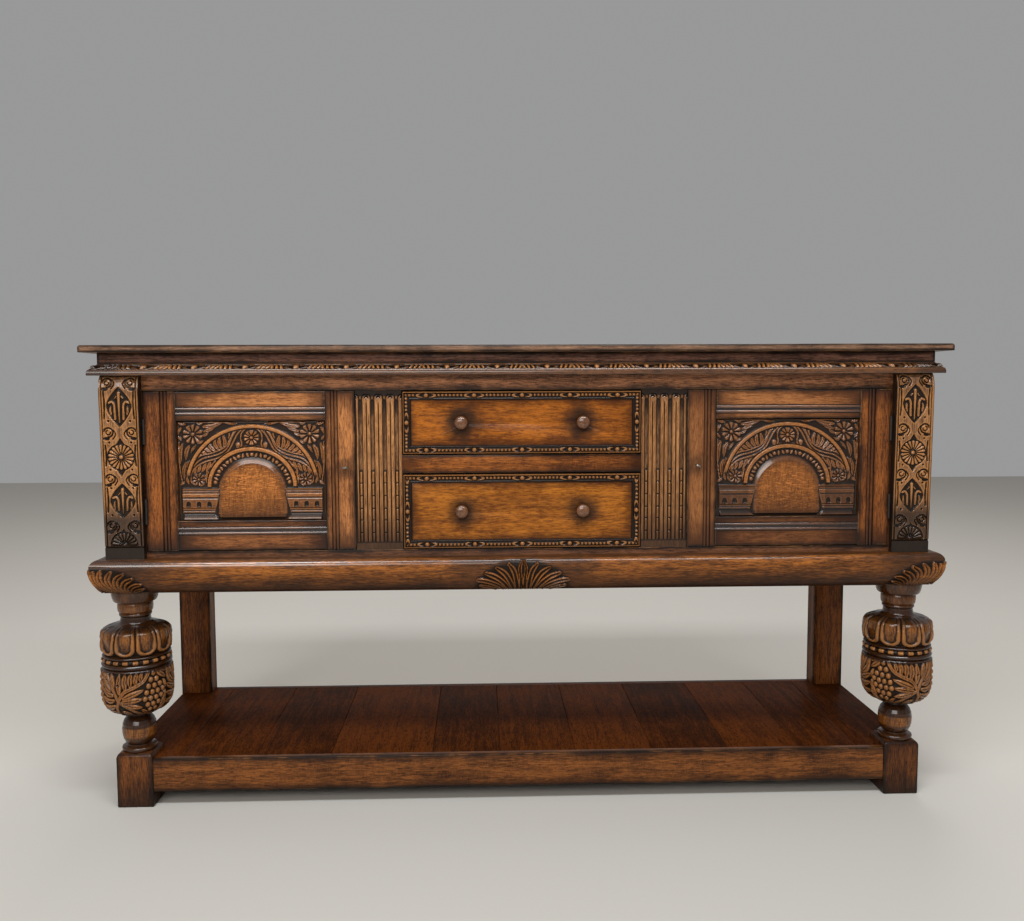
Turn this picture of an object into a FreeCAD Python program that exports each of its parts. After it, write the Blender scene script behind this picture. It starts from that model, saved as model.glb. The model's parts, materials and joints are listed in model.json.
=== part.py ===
"""Carved oak dresser base on bulb legs, with two cupboards, two drawers and a potboard.

Millimetres. +Z is up, the front faces -Y, and the origin is on the floor under the middle.
"""
import FreeCAD
import Part
import Sketcher
import math
import os
import re

# Driving dimensions
SIZES = {
    # the whole
    "top_length": 1830,
    "total_height": 998,
    "carcass_length": 1764,
    "carcass_depth": 500,
    "leg_height": 475,
    "top_thickness": 15,
    "top_overhang": 37,
    "top_edge_round": 5,
    # frame
    "post_width": 81,
    "post_depth": 60,
    "leg_square": 78,
    "back_leg_depth": 48,
    "rail_thickness": 28,
    "top_rail_height": 80,
    "bottom_rail_height": 87,
    "tenon_length": 30,
    "tenon_thickness": 10,
    "tenon_shoulder": 12,
    "stub_length": 14,
    "groove_depth": 8,
    "tongue_thickness": 8,
    "panel_rise": 5,
    "panel_bevel": 24,
    "back_rail_thickness": 22,
    "back_board_thickness": 12,
    "partition_thickness": 18,
    "bottom_thickness": 18,
    # muntins
    "muntin_width": 98.4,
    "flute_radius": 8,
    "flute_depth": 4,
    "flute_pitch": 25.4,
    "flute_margin": 16,
    # mouldings
    "frieze_height": 23.5,
    "frieze_thickness": 6,
    "cornice_height": 24,
    "cornice_projection": 23,
    "cornice_lip": 5,
    "cushion_height": 73.5,
    "cushion_projection": 31,
    "cushion_toe": 8,
    "cushion_crown": 18,
    "cushion_ledge": 19,
    "cushion_strip": 4,
    "corbel_depth": 21,
    "corbel_foot_depth": 14,
    "corbel_plinth": 25,
    "corbel_roll": 34,
    "corbel_roll_radius": 36,
    "corbel_neck_depth": 9,
    # drawers
    "drawer_opening": 512.6,
    "divider_height": 39,
    "divider_depth": 60,
    "upper_drawer_height": 135,
    "lower_drawer_height": 161,
    "drawer_gap": 1,
    "drawer_headroom": 2,
    "drawer_clearance": 0.3,
    "drawer_back_gap": 24,
    "drawer_front_thickness": 22,
    "drawer_front_setback": 2,
    "drawer_lap": 10,
    "drawer_side_gap": 3,
    "drawer_side_thickness": 12,
    "drawer_side_drop": 6,
    "drawer_bottom_thickness": 8,
    "drawer_bottom_rise": 10,
    "drawer_groove_depth": 5,
    "runner_width": 70,
    "guide_height": 14,
    "kicker_height": 20,
    "edge_moulding_width": 19,
    "edge_moulding_rise": 7,
    "edge_moulding_lip": 3,
    # knobs
    "knob_spacing": 260,
    "knob_radius": 14,
    "knob_neck_radius": 7,
    "knob_base_radius": 9,
    "knob_neck_length": 8,
    "knob_length": 22,
    "knob_rim": 4,
    "knob_spigot_radius": 5,
    "knob_spigot_length": 20,
    # doors
    "door_gap": 1.25,
    "door_thickness": 24,
    "hinge_stile_width": 68,
    "lock_stile_width": 62.5,
    "door_top_rail_height": 62,
    "door_bottom_rail_height": 64,
    "door_panel_setback": 7,
    "door_tongue_setback": 10,
    "stile_reed_start": 38,
    "rail_reed_start": 34,
    "reed_width": 4,
    "reed_pitch": 6,
    "reed_depth": 2.5,
    # arch carved on a door panel
    "panel_relief": 4,
    "arch_spring": 73,
    "arch_band": 9,
    "arch_outer_half": 140,
    "arch_outer_rise": 128,
    "arch_inner_half": 95,
    "arch_inner_rise": 83,
    "arch_field_half": 68,
    "arch_field_rise": 66,
    "arch_field_foot": 10,
    "arch_field_side": 45,
    "impost_height": 20,
    "impost_gap": 9,
    "plinth_height": 26,
    # hinges
    "hinge_length": 53,
    "hinge_from_end": 58,
    "leaf_thickness": 1,
    "leaf_width": 20,
    "knuckle_radius": 3,
    "knuckle_clearance": 0.3,
    "hinge_pin_radius": 1.5,
    "hinge_pin_clearance": 0.05,
    "hinge_axis_inset": 2.25,
    # locks
    "lock_height": 64,
    "lock_width": 38,
    "lock_thickness": 11,
    "lock_wall": 2.5,
    "key_inset": 20.5,
    "key_drop": 162,
    "key_shank_radius": 2,
    "key_clearance": 0.5,
    "key_bit_length": 7,
    "key_bit_thickness": 2.4,
    "key_bit_width": 4,
    "key_bow_radius": 7,
    "key_eye_radius": 3.5,
    "key_bow_thickness": 3,
    "key_neck": 5,
    "bolt_height": 16,
    "bolt_throw": 8,
    "bolt_clearance": 0.4,
    # potboard
    "foot_height": 120,
    "potboard_height": 106,
    "potboard_rail_height": 72,
    "potboard_rail_thickness": 30,
    "potboard_setback": 3,
    "plank_thickness": 15,
    "plank_rebate": 12,
    "plank_gap": 0.6,
    "end_board_width": 128,
    "plank_one": 166,
    "plank_two": 165,
    "plank_three": 223,
    "plank_four": 150,
    "plank_five": 168,
    "plank_six": 172,
    "plank_seven": 171,
    "plank_eight": 161,
    "plank_nine": 133,
    # turned leg
    "foot_chamfer": 5,
    "collar_radius": 37,
    "collar_chamfer": 3,
    "collar_height": 9,
    "ankle_radius": 24,
    "ankle_height": 4,
    "ball_radius": 36,
    "ball_height": 57,
    "waist_radius": 21,
    "waist_height": 4,
    "bulb_radius": 75,
    "cup_height": 103,
    "cup_shoulder_height": 28,
    "cup_shoulder_radius": 70,
    "cup_waist_radius": 26,
    "cup_belly_height": 70,
    "cup_base_curve": 49,
    "cup_side_curve": 206,
    "cup_rim_radius": 72,
    "bead_ring_radius": 73,
    "bead_ring_height": 30,
    "cover_radius": 73.5,
    "cover_height": 73,
    "cover_belly_height": 26,
    "cover_lip_radius": 68.5,
    "cover_top_radius": 37,
    "gadroon_depth": 4,
    "neck_radius": 31,
    "neck_height": 10,
    "fillet_radius": 34,
    "fillet_height": 11,
    "ring_radius": 37,
    "ring_height": 26,
    "abacus_radius": 49,
    "abacus_edge": 7,
    "leg_tenon_radius": 14,
    "leg_tenon_length": 40,
}

# Levels and planes that follow from the driving dimensions
PLACES = {
    "front_plane": "(top_overhang - carcass_depth) / 2",
    "back_plane": "(top_overhang + carcass_depth) / 2",
    "side_plane": "carcass_length / 2",
    "post_face": "side_plane - post_width",
    "leg_x": "side_plane - leg_square / 2",
    "leg_y": "front_plane + leg_square / 2",
    "leg_inside": "side_plane - leg_square",
    "foot_back": "front_plane + leg_square",
    "back_leg_front": "back_plane - back_leg_depth",
    "rail_back": "front_plane + rail_thickness",
    "post_back": "front_plane + post_depth",
    "back_board_front": "back_plane - back_board_thickness",
    "back_rail_front": "back_board_front - back_rail_thickness",
    "side_rail_inside": "side_plane - rail_thickness",
    "top_underside": "total_height - top_thickness",
    "top_rail_bottom": "top_underside - top_rail_height",
    "bottom_rail_top": "leg_height + bottom_rail_height",
    "cornice_top": "top_underside - frieze_height",
    "cornice_bottom": "cornice_top - cornice_height",
    "cushion_top": "leg_height + cushion_height",
    "bay_side": "drawer_opening / 2",
    "muntin_outside": "bay_side + muntin_width",
    "muntin_middle": "bay_side + muntin_width / 2",
    "partition_inside": "muntin_middle - partition_thickness / 2",
    "drawer_room": "top_rail_bottom - bottom_rail_top - divider_height - 2 * (drawer_gap + drawer_headroom)",
    "drawer_spare": "drawer_room - lower_drawer_height - upper_drawer_height",
    "lower_drawer_top": "bottom_rail_top + drawer_gap + lower_drawer_height + drawer_spare / 2",
    "divider_bottom": "lower_drawer_top + drawer_headroom",
    "divider_top": "divider_bottom + divider_height",
    "door_near": "muntin_outside + door_gap",
    "door_far": "post_face - door_gap",
    "door_bottom": "bottom_rail_top + door_gap",
    "door_top": "top_rail_bottom - door_gap",
    "door_back": "front_plane + door_thickness",
    "panel_far": "door_far - hinge_stile_width",
    "panel_near": "door_near + lock_stile_width",
    "panel_top": "door_top - door_top_rail_height",
    "panel_bottom": "door_bottom + door_bottom_rail_height",
    "door_tongue_front": "front_plane + door_tongue_setback",
    "hinge_x": "door_far - hinge_axis_inset",
    "hinge_y": "front_plane - knuckle_radius - knuckle_clearance",
    "key_x": "door_near + key_inset",
    "key_z": "door_top - key_drop",
    "lock_front": "door_back - lock_thickness",
    "bolt_bottom": "key_z + key_bit_length + 2 * key_clearance",
    "bolt_top": "bolt_bottom + bolt_height",
    "potboard_front": "front_plane + potboard_setback",
    "potboard_back": "back_plane - potboard_setback",
    "potboard_side": "side_plane - potboard_setback",
    "potboard_bottom": "potboard_height - potboard_rail_height",
    "plank_bottom": "potboard_height - plank_thickness",
    "plank_front": "potboard_front + potboard_rail_thickness - plank_rebate",
    "plank_back": "potboard_back - potboard_rail_thickness + plank_rebate",
    "plank_span": "2 * (potboard_side - end_board_width)",
}

PLANKS = ["plank_one", "plank_two", "plank_three", "plank_four", "plank_five",
          "plank_six", "plank_seven", "plank_eight", "plank_nine"]
GADROON_COUNT = 10
# where the cover's outline is drawn, as shares of its rise above the belly
COVER_STEPS = [0.4, 0.75, 0.93, 1.0]
FLUTE_COUNT = 4
REED_COUNT = 2
BACK_BOARD_COUNT = 7
RIGHT_KEY_TILT = 25
SIDES = {"left": -1, "right": 1}
TINY = 0.001

doc = FreeCAD.newDocument("dresser_base")
nodes = []


def formula(text, inside_places=False):
    """Point the plain names in an expression at the sheet that holds them."""
    def pointed(match):
        word = match.group(0)
        if word in SIZES:
            return "Sizes." + word
        if word in PLACES and not inside_places:
            return "Places." + word
        return word
    return re.sub(r"[a-z_]+", pointed, text)


def make_sheets():
    sizes = doc.addObject("Spreadsheet::Sheet", "Sizes")
    for row, (name, size) in enumerate(SIZES.items(), start=1):
        sizes.set(f"A{row}", name)
        sizes.set(f"B{row}", str(size))
        sizes.setAlias(f"B{row}", name)
    places = doc.addObject("Spreadsheet::Sheet", "Places")
    for row, (name, text) in enumerate(PLACES.items(), start=1):
        places.set(f"A{row}", name)
        places.setAlias(f"B{row}", name)
        places.set(f"B{row}", "=" + formula(text, inside_places=True))
    doc.recompute()
    return sizes


sheet = make_sheets()


def number(text):
    """The present value of an expression."""
    return float(sheet.evalExpression(formula(text)))


def put(thing, x="0", y="0", z="0", turn=0.0, about=(0, 0, 1)):
    """Place an object at a bound point, turned by a fixed angle."""
    rotation = FreeCAD.Rotation(FreeCAD.Vector(*about), turn)
    thing.Placement = FreeCAD.Placement(FreeCAD.Vector(), rotation)
    for axis, text in zip("xyz", (x, y, z)):
        thing.setExpression(f"Placement.Base.{axis}", formula(text))
    return thing


def span(side, low, high):
    """The bounds of a piece on the right, or their mirror image on the left."""
    if side > 0:
        return low, high
    return f"-({high})", f"-({low})"


def on_side(side, text):
    return text if side > 0 else f"-({text})"


def block(name, x, y, z):
    """A rectangular piece between bound planes."""
    piece = doc.addObject("Part::Box", name)
    bounds = (x, y, z)
    for measure, (low, high) in zip(("Length", "Width", "Height"), bounds):
        piece.setExpression(measure, formula(f"({high}) - ({low})"))
    return put(piece, x[0], y[0], z[0])


def rod(name, x, y, z, radius, length, turn=0.0, about=(0, 0, 1)):
    """A round piece standing on a bound point."""
    piece = doc.addObject("Part::Cylinder", name)
    piece.setExpression("Radius", formula(radius))
    piece.setExpression("Height", formula(length))
    return put(piece, x, y, z, turn, about)


def fuse(name, *pieces):
    whole = doc.addObject("Part::MultiFuse", name)
    whole.Shapes = list(pieces)
    whole.Refine = True
    return whole


def cut(name, piece, *tools):
    result = doc.addObject("Part::Cut", name)
    result.Base = piece
    result.Tool = tools[0] if len(tools) == 1 else fuse(name + "_tools", *tools)
    result.Refine = True
    return result


def node(label, *pieces):
    """Name a finished sub-part, or several alike that share a node."""
    if len(pieces) == 1:
        piece = pieces[0]
    else:
        piece = doc.addObject("Part::Compound", label + "_set")
        piece.Links = list(pieces)
    piece.Label = label
    nodes.append(piece)
    return piece


def origin_feature(body, role):
    return [feature for feature in body.Origin.OriginFeatures if feature.Role == role][0]


def draw(body, name, plane, corners):
    """Sketch a closed outline on one of a body's planes.

    A corner is (across, up) or (across, up, radius): with a radius, the side that leaves the
    corner is an arc, to the right of the way for a positive radius and to the left for a
    negative one.
    """
    sketch = body.newObject("Sketcher::SketchObject", name)
    sketch.AttachmentSupport = [(origin_feature(body, plane), "")]
    sketch.MapMode = "FlatFace"
    points = [FreeCAD.Vector(number(corner[0]), number(corner[1]), 0) for corner in corners]
    sides = []
    rules = []
    bound = {}
    for index, corner in enumerate(corners):
        here = points[index]
        there = points[(index + 1) % len(points)]
        if len(corner) == 2:
            line = sketch.addGeometry(Part.LineSegment(here, there))
            sides.append((line, 1, 2))
            continue
        radius = number(corner[2])
        half = (there - here) * 0.5
        right = FreeCAD.Vector(half.y, -half.x, 0).normalize()
        sagitta = abs(radius) - max(radius ** 2 - half.Length ** 2, 0) ** 0.5
        crown = here + half + right * (sagitta if radius > 0 else -sagitta)
        arc = sketch.addGeometry(Part.Arc(here, crown, there))
        forward = (sketch.getPoint(arc, 1) - here).Length < (sketch.getPoint(arc, 2) - here).Length
        sides.append((arc, 1, 2) if forward else (arc, 2, 1))
        bound[len(rules)] = f"abs({corner[2]})"
        rules.append(Sketcher.Constraint("Radius", arc, abs(radius)))
    for index, corner in enumerate(corners):
        side, start, end = sides[index]
        following, follow_start, _ = sides[(index + 1) % len(corners)]
        rules.append(Sketcher.Constraint("Coincident", side, end, following, follow_start))
        for kind, axis, text in (("DistanceX", -2, corner[0]), ("DistanceY", -1, corner[1])):
            if text == "0":
                rules.append(Sketcher.Constraint("PointOnObject", side, start, axis))
                continue
            bound[len(rules)] = text
            rules.append(Sketcher.Constraint(kind, -1, 1, side, start, number(text)))
    sketch.addConstraint(rules)
    for rule, text in bound.items():
        sketch.setExpression(f"Constraints[{rule}]", formula(text))
    return sketch


def pad(body, sketch, length):
    feature = body.newObject("PartDesign::Pad", body.Name + "_pad")
    feature.Profile = sketch
    feature.setExpression("Length", formula(length))
    return feature


def extruded(name, plane, corners, length):
    """A body of one outline pushed through a length."""
    body = doc.addObject("PartDesign::Body", name)
    pad(body, draw(body, name + "_outline", plane, corners), length)
    return body


def bulge(chord, swell):
    """The radius of an arc that swells by so much over its chord."""
    return f"(({chord}) * ({chord}) / 4 + ({swell}) * ({swell})) / (2 * ({swell}))"


def turned(body, name, corners):
    """Turn an outline of (radius, height) corners about the body's upright axis."""
    feature = body.newObject("PartDesign::Revolution", name)
    sketch = draw(body, name + "_outline", "XZ_Plane", corners)
    feature.Profile = sketch
    feature.ReferenceAxis = (sketch, ["V_Axis"])
    feature.Angle = 360
    return feature


def run(name, corners, length, reach, near_slope=0, far_slope=0):
    """A length of moulding along -Y, its outline in (out, up), with mitred ends.

    A slope of 1 makes the end longer towards the outside, as round an outer corner, and -1
    shorter, as inside a frame.
    """
    grow_near = reach if near_slope > 0 else "0"
    grow_far = reach if far_slope > 0 else "0"
    body = extruded(name, "XZ_Plane", corners, f"({length}) + ({grow_near}) + ({grow_far})")
    if near_slope > 0:
        body.Group[0].setExpression("AttachmentOffset.Base.z", formula(f"-({reach})"))
    ends = []
    if near_slope > 0:
        ends.append([("0", "0"), (reach, reach), ("0", reach)])
    if near_slope < 0:
        ends.append([("0", "0"), (reach, "0"), (reach, f"-({reach})")])
    if far_slope > 0:
        ends.append([("0", f"-({length})"), ("0", f"-({length}) - ({reach})"),
                     (reach, f"-({length}) - ({reach})")])
    if far_slope < 0:
        ends.append([("0", f"-({length})"), (reach, f"-({length})"),
                     (reach, f"-({length}) + ({reach})")])
    for index, triangle in enumerate(ends):
        waste = draw(body, f"{name}_mitre_{index}", "XY_Plane", triangle)
        mitre = body.newObject("PartDesign::Pocket", f"{name}_mitre_cut_{index}")
        mitre.Profile = waste
        mitre.Type = "ThroughAll"
        mitre.SideType = "Symmetric"
    return body


def wrap(label, corners, reach):
    """A moulding round the front and both sides of the carcass."""
    depth = "carcass_depth"
    right = run(label + "_right", corners, depth, reach, 0, 1)
    put(right, "side_plane", "back_plane")
    front = run(label + "_front", corners, "carcass_length", reach, 1, 1)
    put(front, "side_plane", "front_plane", turn=-90)
    left = run(label + "_left", corners, depth, reach, 1, 0)
    put(left, "-side_plane", "front_plane", turn=180)
    return node(label, front, left, right)


def top_board():
    half = "top_length / 2"
    front = "front_plane - top_overhang"
    body = extruded("top_board", "XY_Plane", [
        (f"-{half}", front), (half, front), (half, "back_plane"), (f"-{half}", "back_plane")],
        "top_thickness")
    put(body, z="top_underside")
    doc.recompute()
    edges = []
    for index, edge in enumerate(body.Tip.Shape.Edges, start=1):
        middle = edge.CenterOfMass
        flat = abs(edge.Vertexes[0].Z - edge.Vertexes[-1].Z) < TINY
        if flat and middle.z > TINY and middle.y < number("back_plane") - TINY:
            edges.append(f"Edge{index}")
    rounding = body.newObject("PartDesign::Fillet", "top_board_edge")
    rounding.Base = (body.Group[-2], edges)
    rounding.setExpression("Radius", formula("top_edge_round"))
    node("top_board", body)


def mouldings():
    wrap("frieze_boards", [
        ("0", "cornice_top"), ("frieze_thickness", "cornice_top"),
        ("frieze_thickness", "top_underside"), ("0", "top_underside")], "frieze_thickness")
    wrap("cornice_mouldings", [
        ("0", "cornice_bottom"), ("cornice_projection", "cornice_bottom"),
        ("cornice_projection", "cornice_bottom + cornice_lip", "cornice_height"),
        ("frieze_thickness", "cornice_top"), ("0", "cornice_top")], "cornice_projection")
    widest = "cushion_top - cushion_crown"
    wrap("cushion_mouldings", [
        ("0", "leg_height"), ("cushion_toe", "leg_height", "cushion_height"),
        ("cushion_projection", widest, "cushion_crown"),
        ("cushion_ledge", "cushion_top - cushion_strip"),
        ("cushion_ledge", "cushion_top"), ("0", "cushion_top")], "cushion_projection")


def corbels():
    pair = []
    for word, side in SIDES.items():
        body = extruded(f"corbel_{word}", "YZ_Plane", [
            ("0", "cushion_top"), ("-corbel_foot_depth", "cushion_top"),
            ("-corbel_foot_depth", "cushion_top + corbel_plinth"),
            ("-corbel_depth", "cornice_bottom - corbel_roll", "corbel_roll_radius"),
            ("-corbel_neck_depth", "cornice_bottom"), ("0", "cornice_bottom")], "post_width")
        put(body, span(side, "post_face", "side_plane")[0], "front_plane")
        pair.append(body)
    node("corbels", *pair)


def tenon(name, x, y, z):
    return block(name + "_tenon", x, y, z)


def across_tenons(name, reach, middle_y, bottom, top, length="tenon_length"):
    """The two tenons of a rail that runs from side to side."""
    thick = (f"{middle_y} - tenon_thickness / 2", f"{middle_y} + tenon_thickness / 2")
    tall = (f"{bottom} + tenon_shoulder", f"{top} - tenon_shoulder")
    return {word: tenon(f"{name}_{word}", span(side, reach, f"{reach} + {length}"), thick, tall)
            for word, side in SIDES.items()}


def fore_and_aft_tenons(name, side, middle_x, front, back, bottom, top):
    """The two tenons of a rail that runs from front to back."""
    wide = span(side, f"{middle_x} - tenon_thickness / 2", f"{middle_x} + tenon_thickness / 2")
    tall = (f"{bottom} + tenon_shoulder", f"{top} - tenon_shoulder")
    return (tenon(name + "_front", wide, (f"{front} - tenon_length", front), tall),
            tenon(name + "_back", wide, (back, f"{back} + tenon_length"), tall))


def carcass_frame():
    """Posts, rails, panels, bottom and back, each mortised for what enters it."""
    levels = {"top": ("top_rail_bottom", "top_underside"),
              "bottom": ("leg_height", "bottom_rail_top")}
    rail_middle = "(front_plane + rail_thickness / 2)"
    back_middle = "(back_rail_front + back_rail_thickness / 2)"
    side_middle = "(side_plane - rail_thickness / 2)"
    floor = block("floor_board",
                  ("-side_rail_inside - groove_depth", "side_rail_inside + groove_depth"),
                  ("rail_back - groove_depth", "back_rail_front + groove_depth"),
                  ("bottom_rail_top - bottom_thickness", "bottom_rail_top"))
    entering_post = {"left": [], "right": []}
    entering_back_leg = {"left": [], "right": []}
    muntin_stubs = muntin_tenons()

    for word, (low, high) in levels.items():
        name = f"front_{word}_rail"
        tenons = across_tenons(name, "post_face", rail_middle, low, high)
        bar = block(name + "_bar", ("-post_face", "post_face"), ("front_plane", "rail_back"),
                    (low, high))
        rail = fuse(name + "_fused", bar, *tenons.values())
        sockets = [stubs[word] for stubs in muntin_stubs.values()]
        if word == "bottom":
            sockets.append(floor)
        node(name, cut(name, rail, *sockets))
        for hand in SIDES:
            entering_post[hand].append(tenons[hand])

    back_rails = []
    for word, (low, high) in levels.items():
        name = f"back_{word}_rail"
        tenons = across_tenons(name, "leg_inside", back_middle, low, high)
        bar = block(name + "_bar", ("-leg_inside", "leg_inside"),
                    ("back_rail_front", "back_board_front"), (low, high))
        rail = fuse(name + "_fused", bar, *tenons.values())
        back_rails.append(cut(name, rail, floor) if word == "bottom" else rail)
        for hand in SIDES:
            entering_back_leg[hand].append(tenons[hand])
    node("back_rails", *back_rails)

    panels = []
    for hand, side in SIDES.items():
        panel = side_panel(hand, side)
        panels.append(panel)
        entering_post[hand].append(panel)
        entering_back_leg[hand].append(panel)
        rails = []
        for word, (low, high) in levels.items():
            name = f"side_{word}_rail_{hand}"
            tenons = fore_and_aft_tenons(name, side, side_middle, "post_back", "back_leg_front",
                                         low, high)
            bar = block(name + "_bar", span(side, "side_rail_inside", "side_plane"),
                        ("post_back", "back_leg_front"), (low, high))
            rail = fuse(name + "_fused", bar, *tenons)
            tools = [panel, floor] if word == "bottom" else [panel]
            rails.append(cut(name, rail, *tools))
            entering_post[hand].append(tenons[0])
            entering_back_leg[hand].append(tenons[1])
        node(f"side_rails_{hand}", *rails)
    node("side_panels", *panels)

    posts = []
    for hand, side in SIDES.items():
        post = block(f"post_{hand}", span(side, "post_face", "side_plane"),
                     ("front_plane", "post_back"), ("leg_height", "top_underside"))
        socket = rod(f"leg_socket_{hand}", on_side(side, "leg_x"), "leg_y", "leg_height",
                     "leg_tenon_radius", "leg_tenon_length")
        posts.append(cut(f"corner_post_{hand}", post, socket, *entering_post[hand]))
    node("corner_posts", *posts)

    back_rail_tenons = across_tenons(
        "potboard_back_rail", "leg_inside", "(potboard_back - potboard_rail_thickness / 2)",
        "potboard_bottom", "plank_bottom")
    end_rails = {hand: end_rail_tenons(hand, side) for hand, side in SIDES.items()}
    for hand, side in SIDES.items():
        leg = block(f"back_post_{hand}", span(side, "leg_inside", "side_plane"),
                    ("back_leg_front", "back_plane"), ("0", "top_underside"))
        node(f"back_leg_{hand}", cut(f"back_leg_{hand}", leg, back_rail_tenons[hand],
                                     end_rails[hand][1], *entering_back_leg[hand]))

    corners = []
    for hand, side in SIDES.items():
        wide = span(side, "post_face", "side_plane")
        corners.append(block(f"post_notch_{hand}", wide, ("front_plane", "post_back"),
                             ("leg_height", "top_underside")))
        corners.append(block(f"back_leg_notch_{hand}", span(side, "leg_inside", "side_plane"),
                             ("back_leg_front", "back_plane"), ("leg_height", "top_underside")))
    node("carcass_bottom", cut("carcass_bottom", floor, *corners))
    back_boards()
    partitions()
    potboard(back_rail_tenons, end_rails)
    muntins(muntin_stubs)


def side_panel(hand, side):
    """A fielded panel in the grooves of the side frame."""
    middle = "(side_plane - rail_thickness / 2)"
    tongue = block(f"side_tongue_{hand}",
                   span(side, f"{middle} - tongue_thickness / 2", f"{middle} + tongue_thickness / 2"),
                   ("post_back - groove_depth", "back_leg_front + groove_depth"),
                   ("bottom_rail_top - groove_depth", "top_rail_bottom + groove_depth"))
    field = fielding(f"side_field_{hand}", "(back_leg_front - post_back)",
                     "(top_rail_bottom - bottom_rail_top)")
    put(field, on_side(side, f"{middle} + tongue_thickness / 2"),
        "(post_back + back_leg_front) / 2", "(bottom_rail_top + top_rail_bottom) / 2",
        turn=-90 * side)
    return fuse(f"side_panel_{hand}", tongue, field)


def fielding(name, width, height):
    """A raised field with bevelled sides, rising along +Y from the origin."""
    field = doc.addObject("Part::Wedge", name)
    field.Ymin = 0
    field.setExpression("Ymax", formula("panel_rise"))
    for letter, size in (("X", width), ("Z", height)):
        field.setExpression(f"{letter}min", formula(f"-{size} / 2"))
        field.setExpression(f"{letter}max", formula(f"{size} / 2"))
        field.setExpression(f"{letter}2min", formula(f"panel_bevel - {size} / 2"))
        field.setExpression(f"{letter}2max", formula(f"{size} / 2 - panel_bevel"))
    return field


def back_boards():
    boards = []
    width = f"(2 * leg_inside / {BACK_BOARD_COUNT})"
    for index in range(BACK_BOARD_COUNT):
        left = f"-leg_inside + {index} * {width}"
        boards.append(block(f"back_board_{index}", (left, f"{left} + {width} - plank_gap"),
                            ("back_board_front", "back_plane"), ("leg_height", "top_underside")))
    node("back_boards", *boards)


def partitions():
    pair = []
    for hand, side in SIDES.items():
        pair.append(block(f"partition_{hand}",
                          span(side, "partition_inside", "partition_inside + partition_thickness"),
                          ("rail_back", "back_rail_front"), ("bottom_rail_top", "top_underside")))
    node("partitions", *pair)


def muntin_tenons():
    stubs = {}
    middle = "(front_plane + rail_thickness / 2)"
    for hand, side in SIDES.items():
        wide = span(side, "bay_side + tenon_shoulder", "muntin_outside - tenon_shoulder")
        thick = (f"{middle} - tenon_thickness / 2", f"{middle} + tenon_thickness / 2")
        stubs[hand] = {
            "top": tenon(f"muntin_top_{hand}", wide, thick,
                         ("top_rail_bottom", "top_rail_bottom + stub_length")),
            "bottom": tenon(f"muntin_bottom_{hand}", wide, thick,
                            ("bottom_rail_top - stub_length", "bottom_rail_top"))}
    return stubs


def muntins(stubs):
    """The fluted uprights, with the divider rail between them and a slot for each lock bolt."""
    middle = "(front_plane + rail_thickness / 2)"
    divider_stubs = across_tenons("divider", "bay_side", middle,
                                  "(divider_bottom - tenon_shoulder / 2)",
                                  "(divider_top + tenon_shoulder / 2)", "stub_length")
    bar = block("divider_bar", ("-bay_side", "bay_side"),
                ("front_plane", "front_plane + divider_depth"), ("divider_bottom", "divider_top"))
    node("drawer_divider", fuse("drawer_divider", bar, *divider_stubs.values()))
    pair = []
    for hand, side in SIDES.items():
        board = block(f"muntin_board_{hand}", span(side, "bay_side", "muntin_outside"),
                      ("front_plane", "rail_back"), ("bottom_rail_top", "top_rail_bottom"))
        whole = fuse(f"muntin_fused_{hand}", board, *stubs[hand].values())
        flutes = []
        for index in range(FLUTE_COUNT):
            offset = f"flute_pitch * {index - (FLUTE_COUNT - 1) / 2}"
            flutes.append(rod(f"flute_{hand}_{index}", on_side(side, f"muntin_middle + {offset}"),
                              "front_plane + flute_depth - flute_radius",
                              "bottom_rail_top + flute_margin", "flute_radius",
                              "top_rail_bottom - bottom_rail_top - 2 * flute_margin"))
        slot = bolt_block(f"bolt_slot_{hand}", side, "muntin_outside - 2 * bolt_throw",
                          "muntin_outside", "bolt_clearance")
        pair.append(cut(f"muntin_{hand}", whole, divider_stubs[hand], slot, *flutes))
    node("muntins", *pair)


def bolt_block(name, side, near, far, grow):
    """The room that a lock bolt takes, with a margin round it."""
    return block(name, span(side, near, far),
                 (f"lock_front + lock_wall - ({grow})", f"door_back - lock_wall + ({grow})"),
                 (f"bolt_bottom - ({grow})", f"bolt_top + ({grow})"))


def end_rail_tenons(hand, side):
    middle = "(potboard_side - potboard_rail_thickness / 2)"
    return fore_and_aft_tenons(f"end_rail_{hand}", side, middle, "foot_back", "back_leg_front",
                               "potboard_bottom", "plank_bottom")


def potboard(back_tenons, end_tenons):
    """The low shelf: rails round it, and boards laid from front to back in their rebates."""
    bed = block("plank_bed", ("-potboard_side", "potboard_side"), ("plank_front", "plank_back"),
                ("plank_bottom", "potboard_height"))
    front_middle = "(potboard_front + potboard_rail_thickness / 2)"
    front_tenons = across_tenons("potboard_front_rail", "leg_inside", front_middle,
                                 "potboard_bottom", "plank_bottom")
    front = block("potboard_front_bar", ("-leg_inside", "leg_inside"),
                  ("potboard_front", "potboard_front + potboard_rail_thickness"),
                  ("potboard_bottom", "potboard_height"))
    front = fuse("potboard_front_fused", front, *front_tenons.values())
    node("potboard_front_rail", cut("potboard_front_rail", front, bed))
    back = block("potboard_back_bar", ("-leg_inside", "leg_inside"),
                 ("potboard_back - potboard_rail_thickness", "potboard_back"),
                 ("potboard_bottom", "potboard_height"))
    back = fuse("potboard_back_fused", back, *back_tenons.values())
    node("potboard_back_rail", cut("potboard_back_rail", back, bed))
    ends = []
    for hand, side in SIDES.items():
        bar = block(f"end_bar_{hand}",
                    span(side, "potboard_side - potboard_rail_thickness", "potboard_side"),
                    ("foot_back", "back_leg_front"), ("potboard_bottom", "plank_bottom"))
        ends.append(fuse(f"potboard_end_rail_{hand}", bar, *end_tenons[hand]))
        front_leg(hand, side, front_tenons[hand], end_tenons[hand][0])
    node("potboard_end_rails", *ends)
    planks()


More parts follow.
